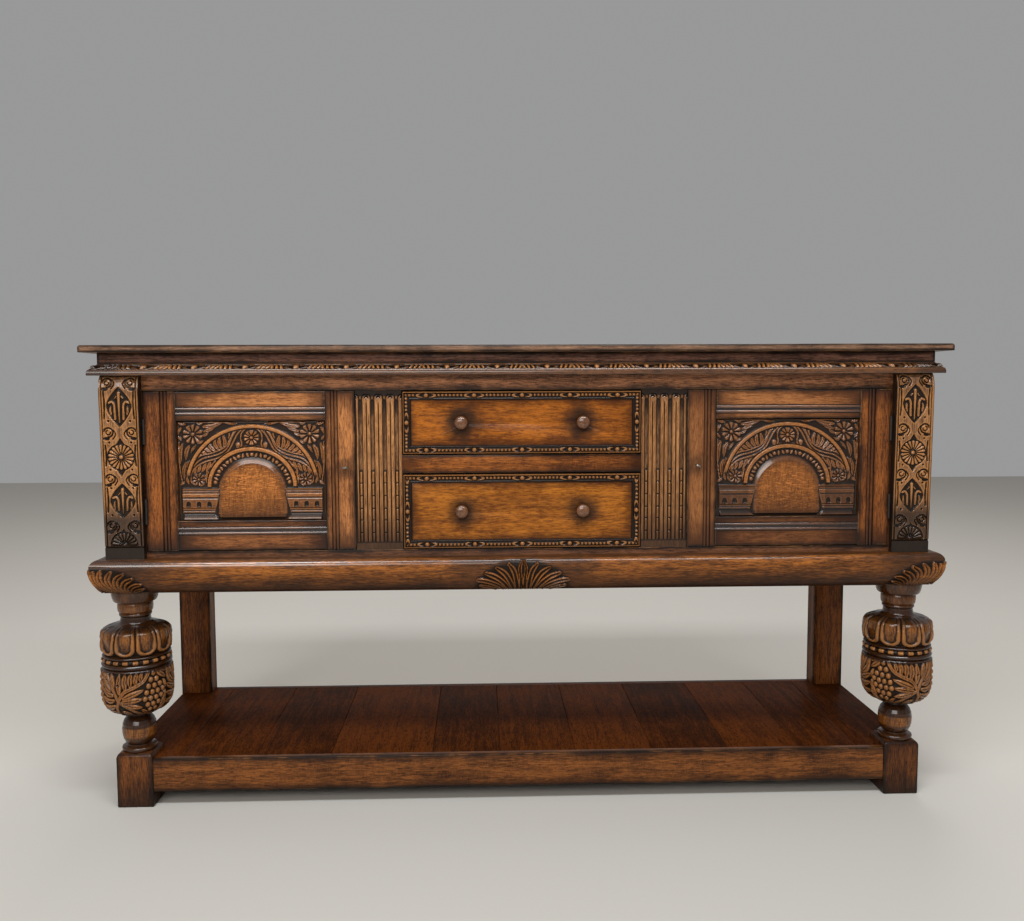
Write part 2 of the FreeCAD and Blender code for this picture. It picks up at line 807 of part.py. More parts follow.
def planks():
    """Boards of uneven width; what the span has over or short is shared among them."""
    share = f"((plank_span - ({' + '.join(PLANKS)})) / {len(PLANKS)})"
    boards = []
    left = "-plank_span / 2"
    for index, name in enumerate(PLANKS):
        right = f"{left} + {name} + {share}"
        if index == len(PLANKS) - 1:
            right = "plank_span / 2"
        boards.append(block(f"board_{index}", (f"{left} + plank_gap / 2", f"{right} - plank_gap / 2"),
                            ("plank_front", "plank_back"), ("plank_bottom", "potboard_height")))
        left = right
    for hand, side in SIDES.items():
        board = block(f"end_board_{hand}",
                      span(side, "plank_span / 2 + plank_gap / 2", "potboard_side"),
                      ("plank_front", "plank_back"), ("plank_bottom", "potboard_height"))
        corners = [block(f"end_board_notch_{place}_{hand}", span(side, "leg_inside", "side_plane"),
                         bounds, ("0", "top_underside"))
                   for place, bounds in (("front", ("front_plane", "foot_back")),
                                         ("back", ("back_leg_front", "back_plane")))]
        boards.append(cut(f"end_board_cut_{hand}", board, *corners))
    node("potboard_planks", *boards)


def front_leg(hand, side, *tenons):
    """Square foot, ball, cup, bead ring, gadrooned cover, neck, ring and abacus, in one piece."""
    body = doc.addObject("PartDesign::Body", f"leg_{hand}")
    half = "leg_square / 2"
    foot = pad(body, draw(body, f"foot_{hand}", "XY_Plane", [
        (f"-{half}", f"-{half}"), (half, f"-{half}"), (half, half), (f"-{half}", half)]), "foot_height")
    doc.recompute()
    rim = [f"Edge{index}" for index, edge in enumerate(foot.Shape.Edges, start=1)
           if edge.BoundBox.ZMin > number("foot_height") - TINY]
    chamfer = body.newObject("PartDesign::Chamfer", f"foot_chamfer_{hand}")
    chamfer.Base = (foot, rim)
    chamfer.setExpression("Size", formula("foot_chamfer"))
    collar_top = "foot_height + collar_height"
    ball_bottom = f"{collar_top} + ankle_height"
    ball_top = f"{ball_bottom} + ball_height"
    cup_bottom = f"{ball_top} + waist_height"
    cup_top = f"{cup_bottom} + cup_height"
    bead_top = f"{cup_top} + bead_ring_height"
    cover_top = f"{bead_top} + cover_height"
    neck_top = f"{cover_top} + neck_height"
    fillet_top = f"{neck_top} + fillet_height"
    ring_top = f"{fillet_top} + ring_height"
    turned(body, f"turning_{hand}", [
        ("0", "foot_height - foot_chamfer"),
        ("collar_radius", "foot_height - foot_chamfer"),
        ("collar_radius", f"{collar_top} - collar_chamfer"),
        ("collar_radius - collar_chamfer", collar_top),
        ("ankle_radius", collar_top),
        ("ankle_radius", ball_bottom, bulge("ball_height", "ball_radius - ankle_radius")),
        ("ankle_radius", ball_top),
        ("waist_radius", ball_top),
        ("waist_radius", cup_bottom),
        ("cup_waist_radius", cup_bottom, "cup_base_curve"),
        ("cup_shoulder_radius", f"{cup_bottom} + cup_shoulder_height", "cup_side_curve"),
        ("bulb_radius", f"{cup_bottom} + cup_belly_height", "cup_side_curve"),
        ("cup_rim_radius", cup_top),
        ("bead_ring_radius", cup_top),
        ("bead_ring_radius", bead_top),
        ("neck_radius", bead_top),
        ("neck_radius", neck_top),
        ("fillet_radius", neck_top),
        ("fillet_radius", fillet_top),
        ("ring_radius", fillet_top),
        ("ring_radius", ring_top),
        ("abacus_radius", "leg_height - abacus_edge"),
        ("abacus_radius", "leg_height"),
        ("leg_tenon_radius", "leg_height"),
        ("leg_tenon_radius", "leg_height + leg_tenon_length"),
        ("0", "leg_height + leg_tenon_length")])
    put(body, on_side(side, "leg_x"), "leg_y")
    cover = put(gadrooned_cover(hand), on_side(side, "leg_x"), "leg_y", bead_top)
    leg = fuse(f"leg_fused_{hand}", body, cover)
    node(f"front_leg_{hand}", cut(f"front_leg_{hand}", leg, *tenons))


def lobed_ring(radius, level):
    """A closed outline of equal round lobes, each an arc from hollow to hollow."""
    def point(turn, reach):
        angle = 2 * math.pi * turn / GADROON_COUNT
        return FreeCAD.Vector(reach * math.cos(angle), reach * math.sin(angle), level)

    hollow = radius - number("gadroon_depth")
    lobes = [Part.Arc(point(lobe, hollow), point(lobe + 0.5, radius), point(lobe + 1, hollow))
             for lobe in range(GADROON_COUNT)]
    return Part.Wire([lobe.toShape() for lobe in lobes])


def gadrooned_cover(hand):
    """The swelling cover above the bead ring, standing on its lip, with a lobe per gadroon."""
    belly = number("cover_belly_height")
    widest = number("cover_radius")
    top = number("cover_top_radius")
    rise = number("cover_height") - belly
    rings = [lobed_ring(number("cover_lip_radius"), 0), lobed_ring(widest, belly)]
    for share in COVER_STEPS:
        radius = top + (widest - top) * math.sqrt(1 - share ** 2)
        rings.append(lobed_ring(radius, belly + rise * share))
    cover = doc.addObject("Part::Feature", f"cover_{hand}")
    cover.Shape = Part.makeLoft(rings, True, True)
    return cover


def runners():
    """Guides beside the drawers, runners under the upper one and kickers above it."""
    guide_inside = "bay_side - drawer_side_gap + drawer_clearance"
    strips = []
    for hand, side in SIDES.items():
        guide = span(side, guide_inside, "partition_inside")
        wide = span(side, "partition_inside - runner_width", "partition_inside")
        behind = ("front_plane + divider_depth", "back_rail_front")
        strips.append(block(f"lower_guide_{hand}", guide, ("rail_back", "back_rail_front"),
                            ("bottom_rail_top", "bottom_rail_top + guide_height")))
        runner = block(f"runner_{hand}", wide, behind, ("divider_bottom", "divider_top"))
        upper = block(f"upper_guide_{hand}", guide, behind,
                      ("divider_top", "divider_top + guide_height"))
        strips.append(fuse(f"drawer_runner_{hand}", runner, upper))
        strips.append(block(f"kicker_{hand}", wide, ("rail_back", "back_rail_front"),
                            ("top_rail_bottom", "top_rail_bottom + kicker_height")))
    node("drawer_runners", *strips)


def drawer(word, seat, ceiling):
    """A drawer that runs on the level seat, under the level ceiling."""
    bottom = f"{seat} + drawer_gap"
    top = f"{ceiling} - drawer_headroom"
    half = "(bay_side - drawer_gap)"
    face = "(front_plane + drawer_front_setback)"
    inner = f"({face} + drawer_front_thickness)"
    end = "(back_rail_front - drawer_back_gap)"
    side_low = f"{seat} + drawer_clearance"
    side_high = f"{top} - drawer_side_drop"
    outside = "(bay_side - drawer_side_gap)"
    inside = f"({outside} - drawer_side_thickness)"
    floor_low = f"{side_low} + drawer_bottom_rise"
    floor_high = f"{floor_low} + drawer_bottom_thickness"

    groove = f"{inside} + drawer_groove_depth"
    floor = block(f"{word}_floor", (f"-({groove})", groove), (f"{inner} - drawer_groove_depth", end),
                  (floor_low, floor_high))
    node(f"{word}_drawer_bottom", floor)
    sides = {hand: block(f"{word}_side_{hand}", span(side, inside, outside),
                         (f"{face} + drawer_lap", end), (side_low, side_high))
             for hand, side in SIDES.items()}
    node(f"{word}_drawer_sides", *[cut(f"{word}_drawer_side_{hand}", board, floor)
                                   for hand, board in sides.items()])
    node(f"{word}_drawer_back", block(
        f"{word}_back", (f"-{inside}", inside), (f"{end} - drawer_side_thickness", end),
        (floor_high, side_high)))
    board = block(f"{word}_front_board", (f"-{half}", half), (face, inner), (bottom, top))
    spigots = []
    knobs = []
    height = f"(({bottom}) + ({top})) / 2"
    for hand, side in SIDES.items():
        place = on_side(side, "knob_spacing / 2")
        spigots.append(rod(f"{word}_spigot_{hand}", place, face, height, "knob_spigot_radius",
                           "knob_spigot_length", -90, (1, 0, 0)))
        knobs.append(knob(f"{word}_knob_{hand}", place, face, height))
    lapped = [block(f"{word}_lap_{hand}", span(side, inside, outside),
                    (f"{face} + drawer_lap", inner), (side_low, side_high))
              for hand, side in SIDES.items()]
    node(f"{word}_drawer_front", cut(f"{word}_drawer_front", board, floor, *spigots, *lapped))
    node(f"{word}_drawer_knobs", *knobs)
    edge_moulding(word, face, half, bottom, top)


def knob(name, x, face, z):
    """A turned knob with a domed head, and a spigot that enters the drawer front."""
    body = doc.addObject("PartDesign::Body", name)
    head = "knob_length - knob_neck_length - knob_rim"
    turned(body, name + "_turning", [
        ("0", "-knob_spigot_length"), ("knob_spigot_radius", "-knob_spigot_length"),
        ("knob_spigot_radius", "0"), ("knob_base_radius", "0"),
        ("knob_neck_radius", "knob_neck_length"),
        ("knob_radius", "knob_neck_length + knob_rim", bulge("2 * knob_radius", head)),
        ("0", "knob_length")])
    return put(body, x, face, z, 90, (1, 0, 0))


def edge_moulding(word, face, half, bottom, top):
    """Four mitred strips round a drawer front."""
    outline = [("0", "0"), ("edge_moulding_width", "0"),
               ("edge_moulding_width", "edge_moulding_lip", "edge_moulding_width"),
               ("edge_moulding_lip", "edge_moulding_rise"), ("0", "edge_moulding_rise")]
    width = f"2 * {half}"
    height = f"({top}) - ({bottom})"
    # (name, length, start across, start up, turns that bring the run to its edge)
    edges = [("left", height, f"-{half}", top, 0), ("bottom", width, f"-{half}", bottom, 90),
             ("right", height, half, bottom, 180), ("top", width, half, top, 270)]
    strips = []
    for name, length, across, up, turn in edges:
        strip = run(f"{word}_edge_{name}", outline, length, "edge_moulding_width", -1, -1)
        put(strip, across, face, up)
        onto_front = FreeCAD.Rotation(FreeCAD.Vector(1, 0, 0), 90)
        round_front = FreeCAD.Rotation(FreeCAD.Vector(0, 1, 0), -turn)
        strip.Placement = FreeCAD.Placement(FreeCAD.Vector(), round_front.multiply(onto_front))
        strips.append(strip)
    node(f"{word}_drawer_edge_moulding", *strips)


def reeds(name, side_of, start, low, high, upright):
    """Two scratched grooves, side by side, along a stile or a rail."""
    cuts = []
    depth = ("front_plane", "front_plane + reed_depth")
    for index in range(REED_COUNT):
        near = f"{start} + {index} * reed_pitch * {side_of}"
        far = f"{near} + reed_width * {side_of}"
        bounds = (near, far) if side_of > 0 else (far, near)
        if upright:
            cuts.append(block(f"{name}_{index}", bounds, depth, (low, high)))
        else:
            cuts.append(block(f"{name}_{index}", (low, high), depth, bounds))
    return cuts


def door(hand, side):
    """A framed and panelled door: rails tenoned into stiles, the panel in their grooves."""
    thickness = ("front_plane", "door_back")
    panel = door_panel(hand, side)
    middle = "(front_plane + door_thickness / 2)"
    tenons = []
    rails = {"top": ("panel_top", "door_top", "door_top - rail_reed_start", -1),
             "bottom": ("door_bottom", "panel_bottom", "door_bottom + rail_reed_start", 1)}
    thick = (f"{middle} - tenon_thickness / 2", f"{middle} + tenon_thickness / 2")
    for word, (low, high, start, way) in rails.items():
        tall = (f"{low} + tenon_shoulder", f"{high} - tenon_shoulder")
        name = f"{hand}_door_{word}_rail"
        ends = [tenon(name + "_near", span(side, "panel_near - tenon_length", "panel_near"), thick, tall),
                tenon(name + "_far", span(side, "panel_far", "panel_far + tenon_length"), thick, tall)]
        bar = block(name + "_bar", span(side, "panel_near", "panel_far"), thickness, (low, high))
        lines = reeds(name + "_reed", way, start, *span(side, "panel_near", "panel_far"), False)
        node(name, cut(name, fuse(name + "_fused", bar, *ends), panel, *lines))
        tenons += ends
    upright = ("door_bottom", "door_top")

    leaves, leaf_seats = door_leaves(hand, side)
    far_stile = block(f"{hand}_hinge_bar", span(side, "panel_far", "door_far"), thickness, upright)
    start = on_side(side, "door_far - stile_reed_start")
    lines = reeds(f"{hand}_hinge_reed", -side, start, *upright, True)
    node(f"{hand}_door_hinge_stile", cut(f"{hand}_hinge_stile", far_stile, panel, *tenons,
                                         *leaf_seats, *lines))
    node(f"{hand}_door_hinge_leaves", *leaves)

    near_stile = block(f"{hand}_lock_bar", span(side, "door_near", "panel_near"), thickness, upright)
    start = on_side(side, "door_near + stile_reed_start")
    lines = reeds(f"{hand}_lock_reed", side, start, *upright, True)
    recess = block(f"{hand}_lock_recess", span(side, "door_near", "door_near + lock_width"),
                   ("lock_front", "door_back"),
                   ("key_z - lock_height / 2", "key_z + lock_height / 2"))
    keyhole = rod(f"{hand}_keyhole", on_side(side, "key_x"), "front_plane", "key_z",
                  "key_shank_radius + key_clearance", "door_thickness", -90, (1, 0, 0))
    node(f"{hand}_door_lock_stile", cut(f"{hand}_lock_stile", near_stile, panel, *tenons,
                                        recess, keyhole, *lines))
    node(f"{hand}_door_panel", panel)
    lock(hand, side, recess, keyhole)


def door_panel(hand, side):
    """The panel, with a tongue all round and its carved face standing forward of it."""
    tongue = block(f"{hand}_panel_tongue",
                   span(side, "panel_near - groove_depth", "panel_far + groove_depth"),
                   ("door_tongue_front", "door_tongue_front + tongue_thickness"),
                   ("panel_bottom - groove_depth", "panel_top + groove_depth"))
    face = block(f"{hand}_panel_face", span(side, "panel_near", "panel_far"),
                 ("front_plane + door_panel_setback", "door_tongue_front + tongue_thickness"),
                 ("panel_bottom", "panel_top"))
    return fuse(f"{hand}_panel", tongue, face, *panel_arch(hand, side))


def arch_band(half, rise):
    """The outline of a curved band that springs from the imposts."""
    inner_half = f"({half} - arch_band)"
    outer = bulge(f"2 * {half}", rise)
    inner = bulge(f"2 * {inner_half}", f"{rise} - arch_band")
    return [(f"-{half}", "arch_spring", f"-({outer})"), (half, "arch_spring"),
            (inner_half, "arch_spring", inner), (f"-{inner_half}", "arch_spring")]


def panel_arch(hand, side):
    """Raised work on a door panel: two arched bands, the arched field, imposts and plinths."""
    half = "arch_field_half"
    field_spring = "arch_field_foot + arch_field_side"
    edge = "(panel_far - panel_near) / 2"
    outlines = {
        "outer_band": arch_band("arch_outer_half", "arch_outer_rise"),
        "inner_band": arch_band("arch_inner_half", "arch_inner_rise"),
        "field": [(f"-{half}", "arch_field_foot"), (half, "arch_field_foot"),
                  (half, field_spring, bulge(f"2 * {half}", "arch_field_rise")),
                  (f"-{half}", field_spring)]}
    for word, way in SIDES.items():
        near, far = span(way, f"{half} + impost_gap", edge)
        for name, low, high in (("impost", "arch_spring - impost_height", "arch_spring"),
                                ("plinth", "0", "plinth_height")):
            outlines[f"{name}_{word}"] = [(near, low), (far, low), (far, high), (near, high)]
    raised = []
    for name, corners in outlines.items():
        piece = extruded(f"{hand}_panel_{name}", "XZ_Plane", corners, "panel_relief")
        raised.append(put(piece, on_side(side, "(panel_near + panel_far) / 2"),
                          "front_plane + door_panel_setback", "panel_bottom"))
    return raised


def hinge_levels():
    return {"upper": "door_top - hinge_from_end - hinge_length", "lower": "door_bottom + hinge_from_end"}


def knuckle(name, side, low, length):
    """A length of hinge barrel with the hole for its pin."""
    barrel = rod(name + "_barrel", on_side(side, "hinge_x"), "hinge_y", low, "knuckle_radius", length)
    hole = rod(name + "_hole", on_side(side, "hinge_x"), "hinge_y", low,
               "hinge_pin_radius + hinge_pin_clearance", length)
    return barrel, hole


def leaf(name, side, edges, low, parts):
    """A hinge leaf: a plate in the joint, and a neck out to each of its knuckles."""
    plate = block(name + "_plate", span(side, *edges), ("front_plane", "front_plane + leaf_width"),
                  (low, f"{low} + hinge_length"))
    pieces = [plate]
    holes = []
    for index, (start, length) in enumerate(parts):
        barrel, hole = knuckle(f"{name}_{index}", side, start, length)
        neck = block(f"{name}_neck_{index}", span(side, *edges), ("hinge_y", "front_plane"),
                     (start, f"{start} + {length}"))
        pieces += [barrel, neck]
        holes.append(hole)
    return cut(name, fuse(name + "_fused", *pieces), *holes), plate


def door_leaves(hand, side):
    """The leaf let into the door's edge at each hinge carries the middle knuckle."""
    leaves = []
    seats = []
    third = "(hinge_length / 3)"
    for word, low in hinge_levels().items():
        parts = [(f"({low} + {third} + knuckle_clearance)", f"({third} - 2 * knuckle_clearance)")]
        piece, plate = leaf(f"{hand}_{word}_door_leaf", side, ("door_far - leaf_thickness", "door_far"),
                            low, parts)
        leaves.append(piece)
        seats.append(plate)
    return leaves, seats


def fixed_hinge_parts():
    """The leaves on the corner posts carry the outer knuckles and hold the pins."""
    leaves = []
    pins = []
    third = "(hinge_length / 3)"
    for hand, side in SIDES.items():
        for word, low in hinge_levels().items():
            parts = [(low, third), (f"({low} + 2 * {third})", third)]
            piece, _ = leaf(f"{hand}_{word}_post_leaf", side,
                            ("post_face - leaf_thickness", "post_face"), low, parts)
            leaves.append(piece)
            pins.append(rod(f"{hand}_{word}_pin", on_side(side, "hinge_x"), "hinge_y", low,
                            "hinge_pin_radius", "hinge_length"))
    node("hinge_post_leaves", *leaves)
    node("hinge_pins", *pins)


def lock(hand, side, recess, keyhole):
    """A lock let into the back of the stile, with its bolt and key."""
    way = bolt_block(f"{hand}_bolt_way", side, "door_near", "door_near + lock_width - lock_wall",
                     "bolt_clearance")
    sweep = rod(f"{hand}_bit_sweep", on_side(side, "key_x"), "lock_front + lock_wall", "key_z",
                "key_bit_length + key_clearance", "lock_thickness - 2 * lock_wall", -90, (1, 0, 0))
    node(f"{hand}_lock_case", cut(f"{hand}_lock_case", recess, way, sweep, keyhole))
    node(f"{hand}_lock_bolt", bolt_block(f"{hand}_lock_bolt", side, "door_near",
                                         "door_near + lock_width - lock_wall - bolt_throw", "0"))
    tilt = 0 if side < 0 else RIGHT_KEY_TILT
    node(f"{hand}_key", put(key(hand), on_side(side, "key_x"), "front_plane", "key_z", tilt, (0, 1, 0)))


def key(hand):
    """A key along Y with its keyhole at the origin: flat bow outside, bit inside."""
    shank = rod(f"{hand}_shank", "0", "-key_neck", "0", "key_shank_radius",
                "key_neck + door_thickness - lock_wall", -90, (1, 0, 0))
    middle = "-key_neck - key_bow_radius + key_clearance"
    ring = rod(f"{hand}_bow_ring", "0", middle, "-key_bow_thickness / 2", "key_bow_radius",
               "key_bow_thickness")
    eye = rod(f"{hand}_bow_eye", "0", middle, "-key_bow_thickness / 2", "key_eye_radius",
              "key_bow_thickness")
    bit = block(f"{hand}_bit", ("-key_bit_thickness / 2", "key_bit_thickness / 2"),
                ("door_thickness - lock_thickness + lock_wall + key_clearance",
                 "door_thickness - lock_thickness + lock_wall + key_clearance + key_bit_width"),
                ("-key_bit_length", "0"))
    return fuse(f"{hand}_key_piece", shank, cut(f"{hand}_bow", ring, eye), bit)


def build():
    top_board()
    mouldings()
    corbels()
    carcass_frame()
    runners()
    fixed_hinge_parts()
    drawer("upper", "divider_top", "top_rail_bottom")
    drawer("lower", "bottom_rail_top", "divider_bottom")
    for hand, side in SIDES.items():
        door(hand, side)
    doc.recompute()


def check():
    """Stop before writing if any feature failed or any sub-part is not a sound solid."""
    for thing in doc.Objects:
        if "Invalid" in thing.State or "Error" in thing.State:
            raise RuntimeError(f"{thing.Name} failed: {thing.State}")
    for piece in nodes:
        if piece.Shape.isNull() or not piece.Shape.isValid() or not piece.Shape.Solids:
            raise RuntimeError(f"{piece.Label} is not a sound solid")


def write():
    os.makedirs("parts", exist_ok=True)
    for piece in nodes:
        piece.Shape.exportStep(f"parts/{piece.Label}.step")
    print(f"{len(nodes)} sub-parts written")


build()
check()
write()
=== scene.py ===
from contextlib import contextmanager
from functools import cached_property
import json
import math

import bpy
import numpy as np
from mathutils import Matrix, Vector

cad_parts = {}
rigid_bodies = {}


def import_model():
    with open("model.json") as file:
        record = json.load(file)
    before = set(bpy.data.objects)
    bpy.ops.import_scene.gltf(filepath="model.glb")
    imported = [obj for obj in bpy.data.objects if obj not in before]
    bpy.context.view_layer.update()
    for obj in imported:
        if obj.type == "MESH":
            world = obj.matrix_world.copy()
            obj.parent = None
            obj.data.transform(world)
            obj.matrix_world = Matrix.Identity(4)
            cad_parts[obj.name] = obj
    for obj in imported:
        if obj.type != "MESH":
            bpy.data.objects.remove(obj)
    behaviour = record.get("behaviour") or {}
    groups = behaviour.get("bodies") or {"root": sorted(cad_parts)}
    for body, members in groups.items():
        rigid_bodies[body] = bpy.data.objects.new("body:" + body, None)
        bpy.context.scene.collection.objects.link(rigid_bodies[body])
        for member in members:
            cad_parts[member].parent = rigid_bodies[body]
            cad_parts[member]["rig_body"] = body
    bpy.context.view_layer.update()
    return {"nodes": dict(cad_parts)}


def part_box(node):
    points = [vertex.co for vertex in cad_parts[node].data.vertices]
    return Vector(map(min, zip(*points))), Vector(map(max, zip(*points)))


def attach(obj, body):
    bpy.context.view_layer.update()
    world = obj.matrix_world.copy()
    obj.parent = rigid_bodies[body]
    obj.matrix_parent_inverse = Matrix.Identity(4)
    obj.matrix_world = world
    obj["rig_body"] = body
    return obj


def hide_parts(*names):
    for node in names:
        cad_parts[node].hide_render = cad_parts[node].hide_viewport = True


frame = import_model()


# Sizes that the frame gives

MM = 0.001
FULL_TURN = 2 * math.pi
HANDS = {"left": -1, "right": 1}
LEVELS = ("upper", "lower")


def span(node):
    """A node's lowest and highest corners, in mm."""
    return [np.round(np.array(corner) / MM, 3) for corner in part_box(node)]


FRONT = span("front_top_rail")[0][1]
BACK = span("back_boards")[1][1]
SIDE = span("corner_posts")[1][0]
DEEP = BACK - FRONT
LENGTH = 2 * SIDE


# Shaders

class Field:
    """A value, colour or vector that changes over a surface: one output socket of a finish."""

    def __init__(self, finish, socket):
        self.finish = finish
        self.socket = socket

    def maths(self, operation, first, second):
        return self.finish.node("Math", {0: first, 1: second}, operation=operation)

    def __add__(self, other):
        return self.maths("ADD", self, other)

    def __sub__(self, other):
        return self.maths("SUBTRACT", self, other)

    def __mul__(self, other):
        return self.maths("MULTIPLY", self, other)

    __radd__ = __add__
    __rmul__ = __mul__

    def __rsub__(self, other):
        return self.maths("SUBTRACT", other, self)

    def least(self, other):
        return self.maths("MINIMUM", self, other)

    def most(self, other):
        return self.maths("MAXIMUM", self, other)

    def power(self, other):
        return self.maths("POWER", self, other)

    def ramp(self, low, high):
        """0 below low, 1 above high, eased between; low may be the larger."""
        return self.finish.node("MapRange", {"Value": self, "From Min": low, "From Max": high},
                                interpolation_type="SMOOTHSTEP")

    def sway(self, reach):
        """A noise's swing about its middle, as far as half of reach each way."""
        return (self - 0.5) * reach


class Finish:
    """One material, with its Principled shader and a way to add nodes."""

    def __init__(self, name):
        self.block = bpy.data.materials.new(name)
        self.block.use_nodes = True
        self.tree = self.block.node_tree
        self.shader = self.tree.nodes["Principled BSDF"]

    def node(self, kind, inputs=None, output=0, **settings):
        made = self.tree.nodes.new("ShaderNode" + kind)
        for key, value in settings.items():
            setattr(made, key, value)
        for key, value in (inputs or {}).items():
            self.feed(made.inputs[key], value)
        return Field(self, made.outputs[output])

    def feed(self, socket, value):
        if isinstance(value, Field):
            self.tree.links.new(value.socket, socket)
        else:
            socket.default_value = value

    def surface(self, **values):
        """Set the shader's sockets, named with underscores for spaces."""
        for key, value in values.items():
            self.feed(self.shader.inputs[key.replace("_", " ")], value)

    @cached_property
    def at(self):
        return self.node("TexCoord", output="Object")

    @cached_property
    def axes(self):
        return [self.node("SeparateXYZ", {0: self.at}, output=axis) for axis in "XYZ"]

    def mapped(self, shift, scale=(1.0, 1.0, 1.0)):
        return self.node("Mapping", {"Vector": self.at, "Location": shift, "Scale": scale})

    def noise(self, at, scale, detail=2.0, rough=0.5, bend=0.0):
        return self.node("TexNoise", {"Vector": at, "Scale": scale, "Detail": detail,
                                      "Roughness": rough, "Distortion": bend})

    def stamped(self, name):
        """What the points of a mesh are stamped with under that name."""
        return self.node("Attribute", output="Fac", attribute_name=name)

    def mix(self, share, first, second):
        return self.node("Mix", {0: share, 6: first, 7: second}, output=2, data_type="RGBA")

    def bump(self, height, strength, depth):
        return self.node("Bump", {"Height": height, "Strength": strength, "Distance": depth})


def tone(red, green, blue):
    return (red, green, blue, 1.0)


def scaled(colour, share):
    return tone(*(min(1.0, part * share) for part in colour[:3]))


# near-black: soot and dirt, and painted shade in joints, gaps, hollows and creases
SOOT_AND_SHADE = tone(0.010, 0.006, 0.004)
# a light tone: rubbed wear on ridges and arrises, and painted highlight on them
WORN_AND_HIGHLIGHT = tone(0.41, 0.175, 0.050)
# how much closer a pattern lies across the grain than along it
GRAIN = {"X": (1.0, 13.0, 13.0), "Y": (13.0, 1.0, 13.0), "Z": (13.0, 13.0, 1.0)}


class Oak(Finish):
    """Old waxed oak, layer over layer. Light and dark are the tones of its grain, figure is the share
    of ray fleck, and calm takes contrast out of the grain."""

    def __init__(self, name, light, dark, grain, seed, figure, boards, calm):
        super().__init__(name)
        self.grain = grain
        self.grime = scaled(dark, 0.42)
        self.shadow = scaled(dark, 0.35)
        close = GRAIN[grain]
        fibre = self.mapped((seed, seed * 0.7, seed * 1.3), close)
        short = self.mapped((seed * 1.7, seed, 0.4), tuple(step ** 0.63 for step in close))
        self.blotch = self.noise(self.mapped((seed, seed, 0.0)), 11.0, 4.0, 0.62)
        self.streak = self.noise(fibre, 6.5, 6.0, 0.66, 0.6)
        self.fine = self.noise(fibre, 46.0, 3.0, 0.65)
        self.pore = self.noise(fibre, 85.0, 1.0, 0.5).ramp(0.60, 0.74)
        tick = self.noise(short, 62.0, 2.5, 0.6).ramp(0.54, 0.64)
        vein = self.noise(fibre, 15.0, 5.0, 0.72, 0.9).ramp(0.53, 0.70)
        shade = (self.streak * 1.6 + self.fine * 1.7 + self.blotch * 0.8 - 2.05) * calm + 0.5
        if boards:
            shade = shade + self.stamped("board") - 0.5
        self.colour = self.mix(shade.ramp(0.0, 1.0), dark, light)
        if figure:
            ribbon = self.mapped((seed, 0.3, seed), tuple(12.0 if step == 1.0 else 1.5 for step in close))
            fleck = self.noise(ribbon, 30.0, 2.0, 0.5, 2.2).ramp(0.50, 0.62)
            self.layer(fleck * figure, scaled(light, 1.1 + 0.5 * figure))
        self.layer(vein * 0.5, scaled(dark, 0.55))
        self.layer(tick * 0.55 * calm, scaled(dark, 0.8))
        self.layer(self.pore * 0.6, scaled(dark, 0.30))

    def layer(self, share, colour):
        self.colour = self.mix(share, self.colour, colour)

    def edges(self, box, dirt, ends):
        """Darken a box's edges with dirt over dirt metres and its ends over ends, draw a thin black line
        along its edges that is painted shade in the joints and gaps, and lighten its arrises with rubbed
        wear and painted highlight.
        """
        low, high = (tuple(float(part) for part in corner) for corner in box)
        a, b, c = ((spot - low[k]).least(high[k] - spot) for k, spot in enumerate(self.axes))
        rim = a.least(b).most(a.most(b).least(c))
        if ends:
            z = self.axes[2]
            tip = ((z - low[2]) * 0.6).least(high[2] - z) if self.grain == "Z" else a
            self.layer((tip + self.blotch.sway(ends * 0.8)).ramp(ends, 0.0) * 0.85, self.grime)
        ragged = rim + self.blotch.sway(dirt * 2.4) + self.fine.sway(dirt * 0.5)
        self.layer(ragged.ramp(dirt * 1.5, 0.0) * 0.78, self.grime)
        # painted shade: a thin black line along every edge for the shade in joints and gaps, with some dirt
        self.layer((rim + self.blotch.sway(0.005)).ramp(0.0064, 0.0) * 0.94, SOOT_AND_SHADE)
        # lighter arrises: rubbed wear and painted highlight
        arris = rim.ramp(0.0024, 0.0006) * self.fine.ramp(0.40, 0.58) * self.blotch.ramp(0.42, 0.62)
        self.layer(arris * 0.45, WORN_AND_HIGHLIGHT)

    def halo(self, halo_x, halo_z, reach, share):
        """A hand-marked ring on a front."""
        across = self.axes[0] - halo_x
        up = self.axes[2] - halo_z
        ring = (across * across + up * up).power(0.5) + self.blotch.sway(0.050)
        self.layer(ring.ramp(reach, reach * 0.30) * share, SOOT_AND_SHADE)

    # darker towards the bottom: painted shade under the cushion moulding, and towards the floor on the feet
    def darker_below(self, low, high):
        self.layer((self.axes[2] + self.blotch.sway(0.05)).ramp(high, low) * 0.8, SOOT_AND_SHADE)

    def carving(self, wear_and_highlight):
        """Dark grounds and light tops, as a carving stamps them: rubbed wear and painted highlight on the
        ridges, the stamped stain and painted shade, and grime and painted shade in the hollows and creases;
        gives how much wax lies on them.
        """
        depth = self.stamped("depth")
        ridge = self.stamped("ridge")
        stain_and_shade = self.stamped("stain_and_shade")
        # ridges lighter: rubbed wear and painted highlight
        self.layer((ridge + self.fine.sway(0.35)).ramp(0.56, 0.95) * wear_and_highlight, WORN_AND_HIGHLIGHT)
        # the stamped stain and painted shade
        aged_and_shaded = (stain_and_shade + self.blotch.sway(0.5) * stain_and_shade.ramp(0.0, 0.3)).least(1.0).most(0.0)
        self.layer(aged_and_shaded * 0.95, self.shadow)
        # hollows darker: grime and painted shade
        sunk_grime_and_shade = (depth + self.fine.sway(0.22)).ramp(0.62, 0.10)
        self.layer(sunk_grime_and_shade * 0.95, SOOT_AND_SHADE)
        # creases darker: grime and painted shade
        self.layer((ridge + self.blotch.sway(0.2)).ramp(0.42, 0.10) * 0.85, SOOT_AND_SHADE)
        return 1.0 - sunk_grime_and_shade * 0.75 + stain_and_shade * 0.4 + self.stamped("polish") * 3.0


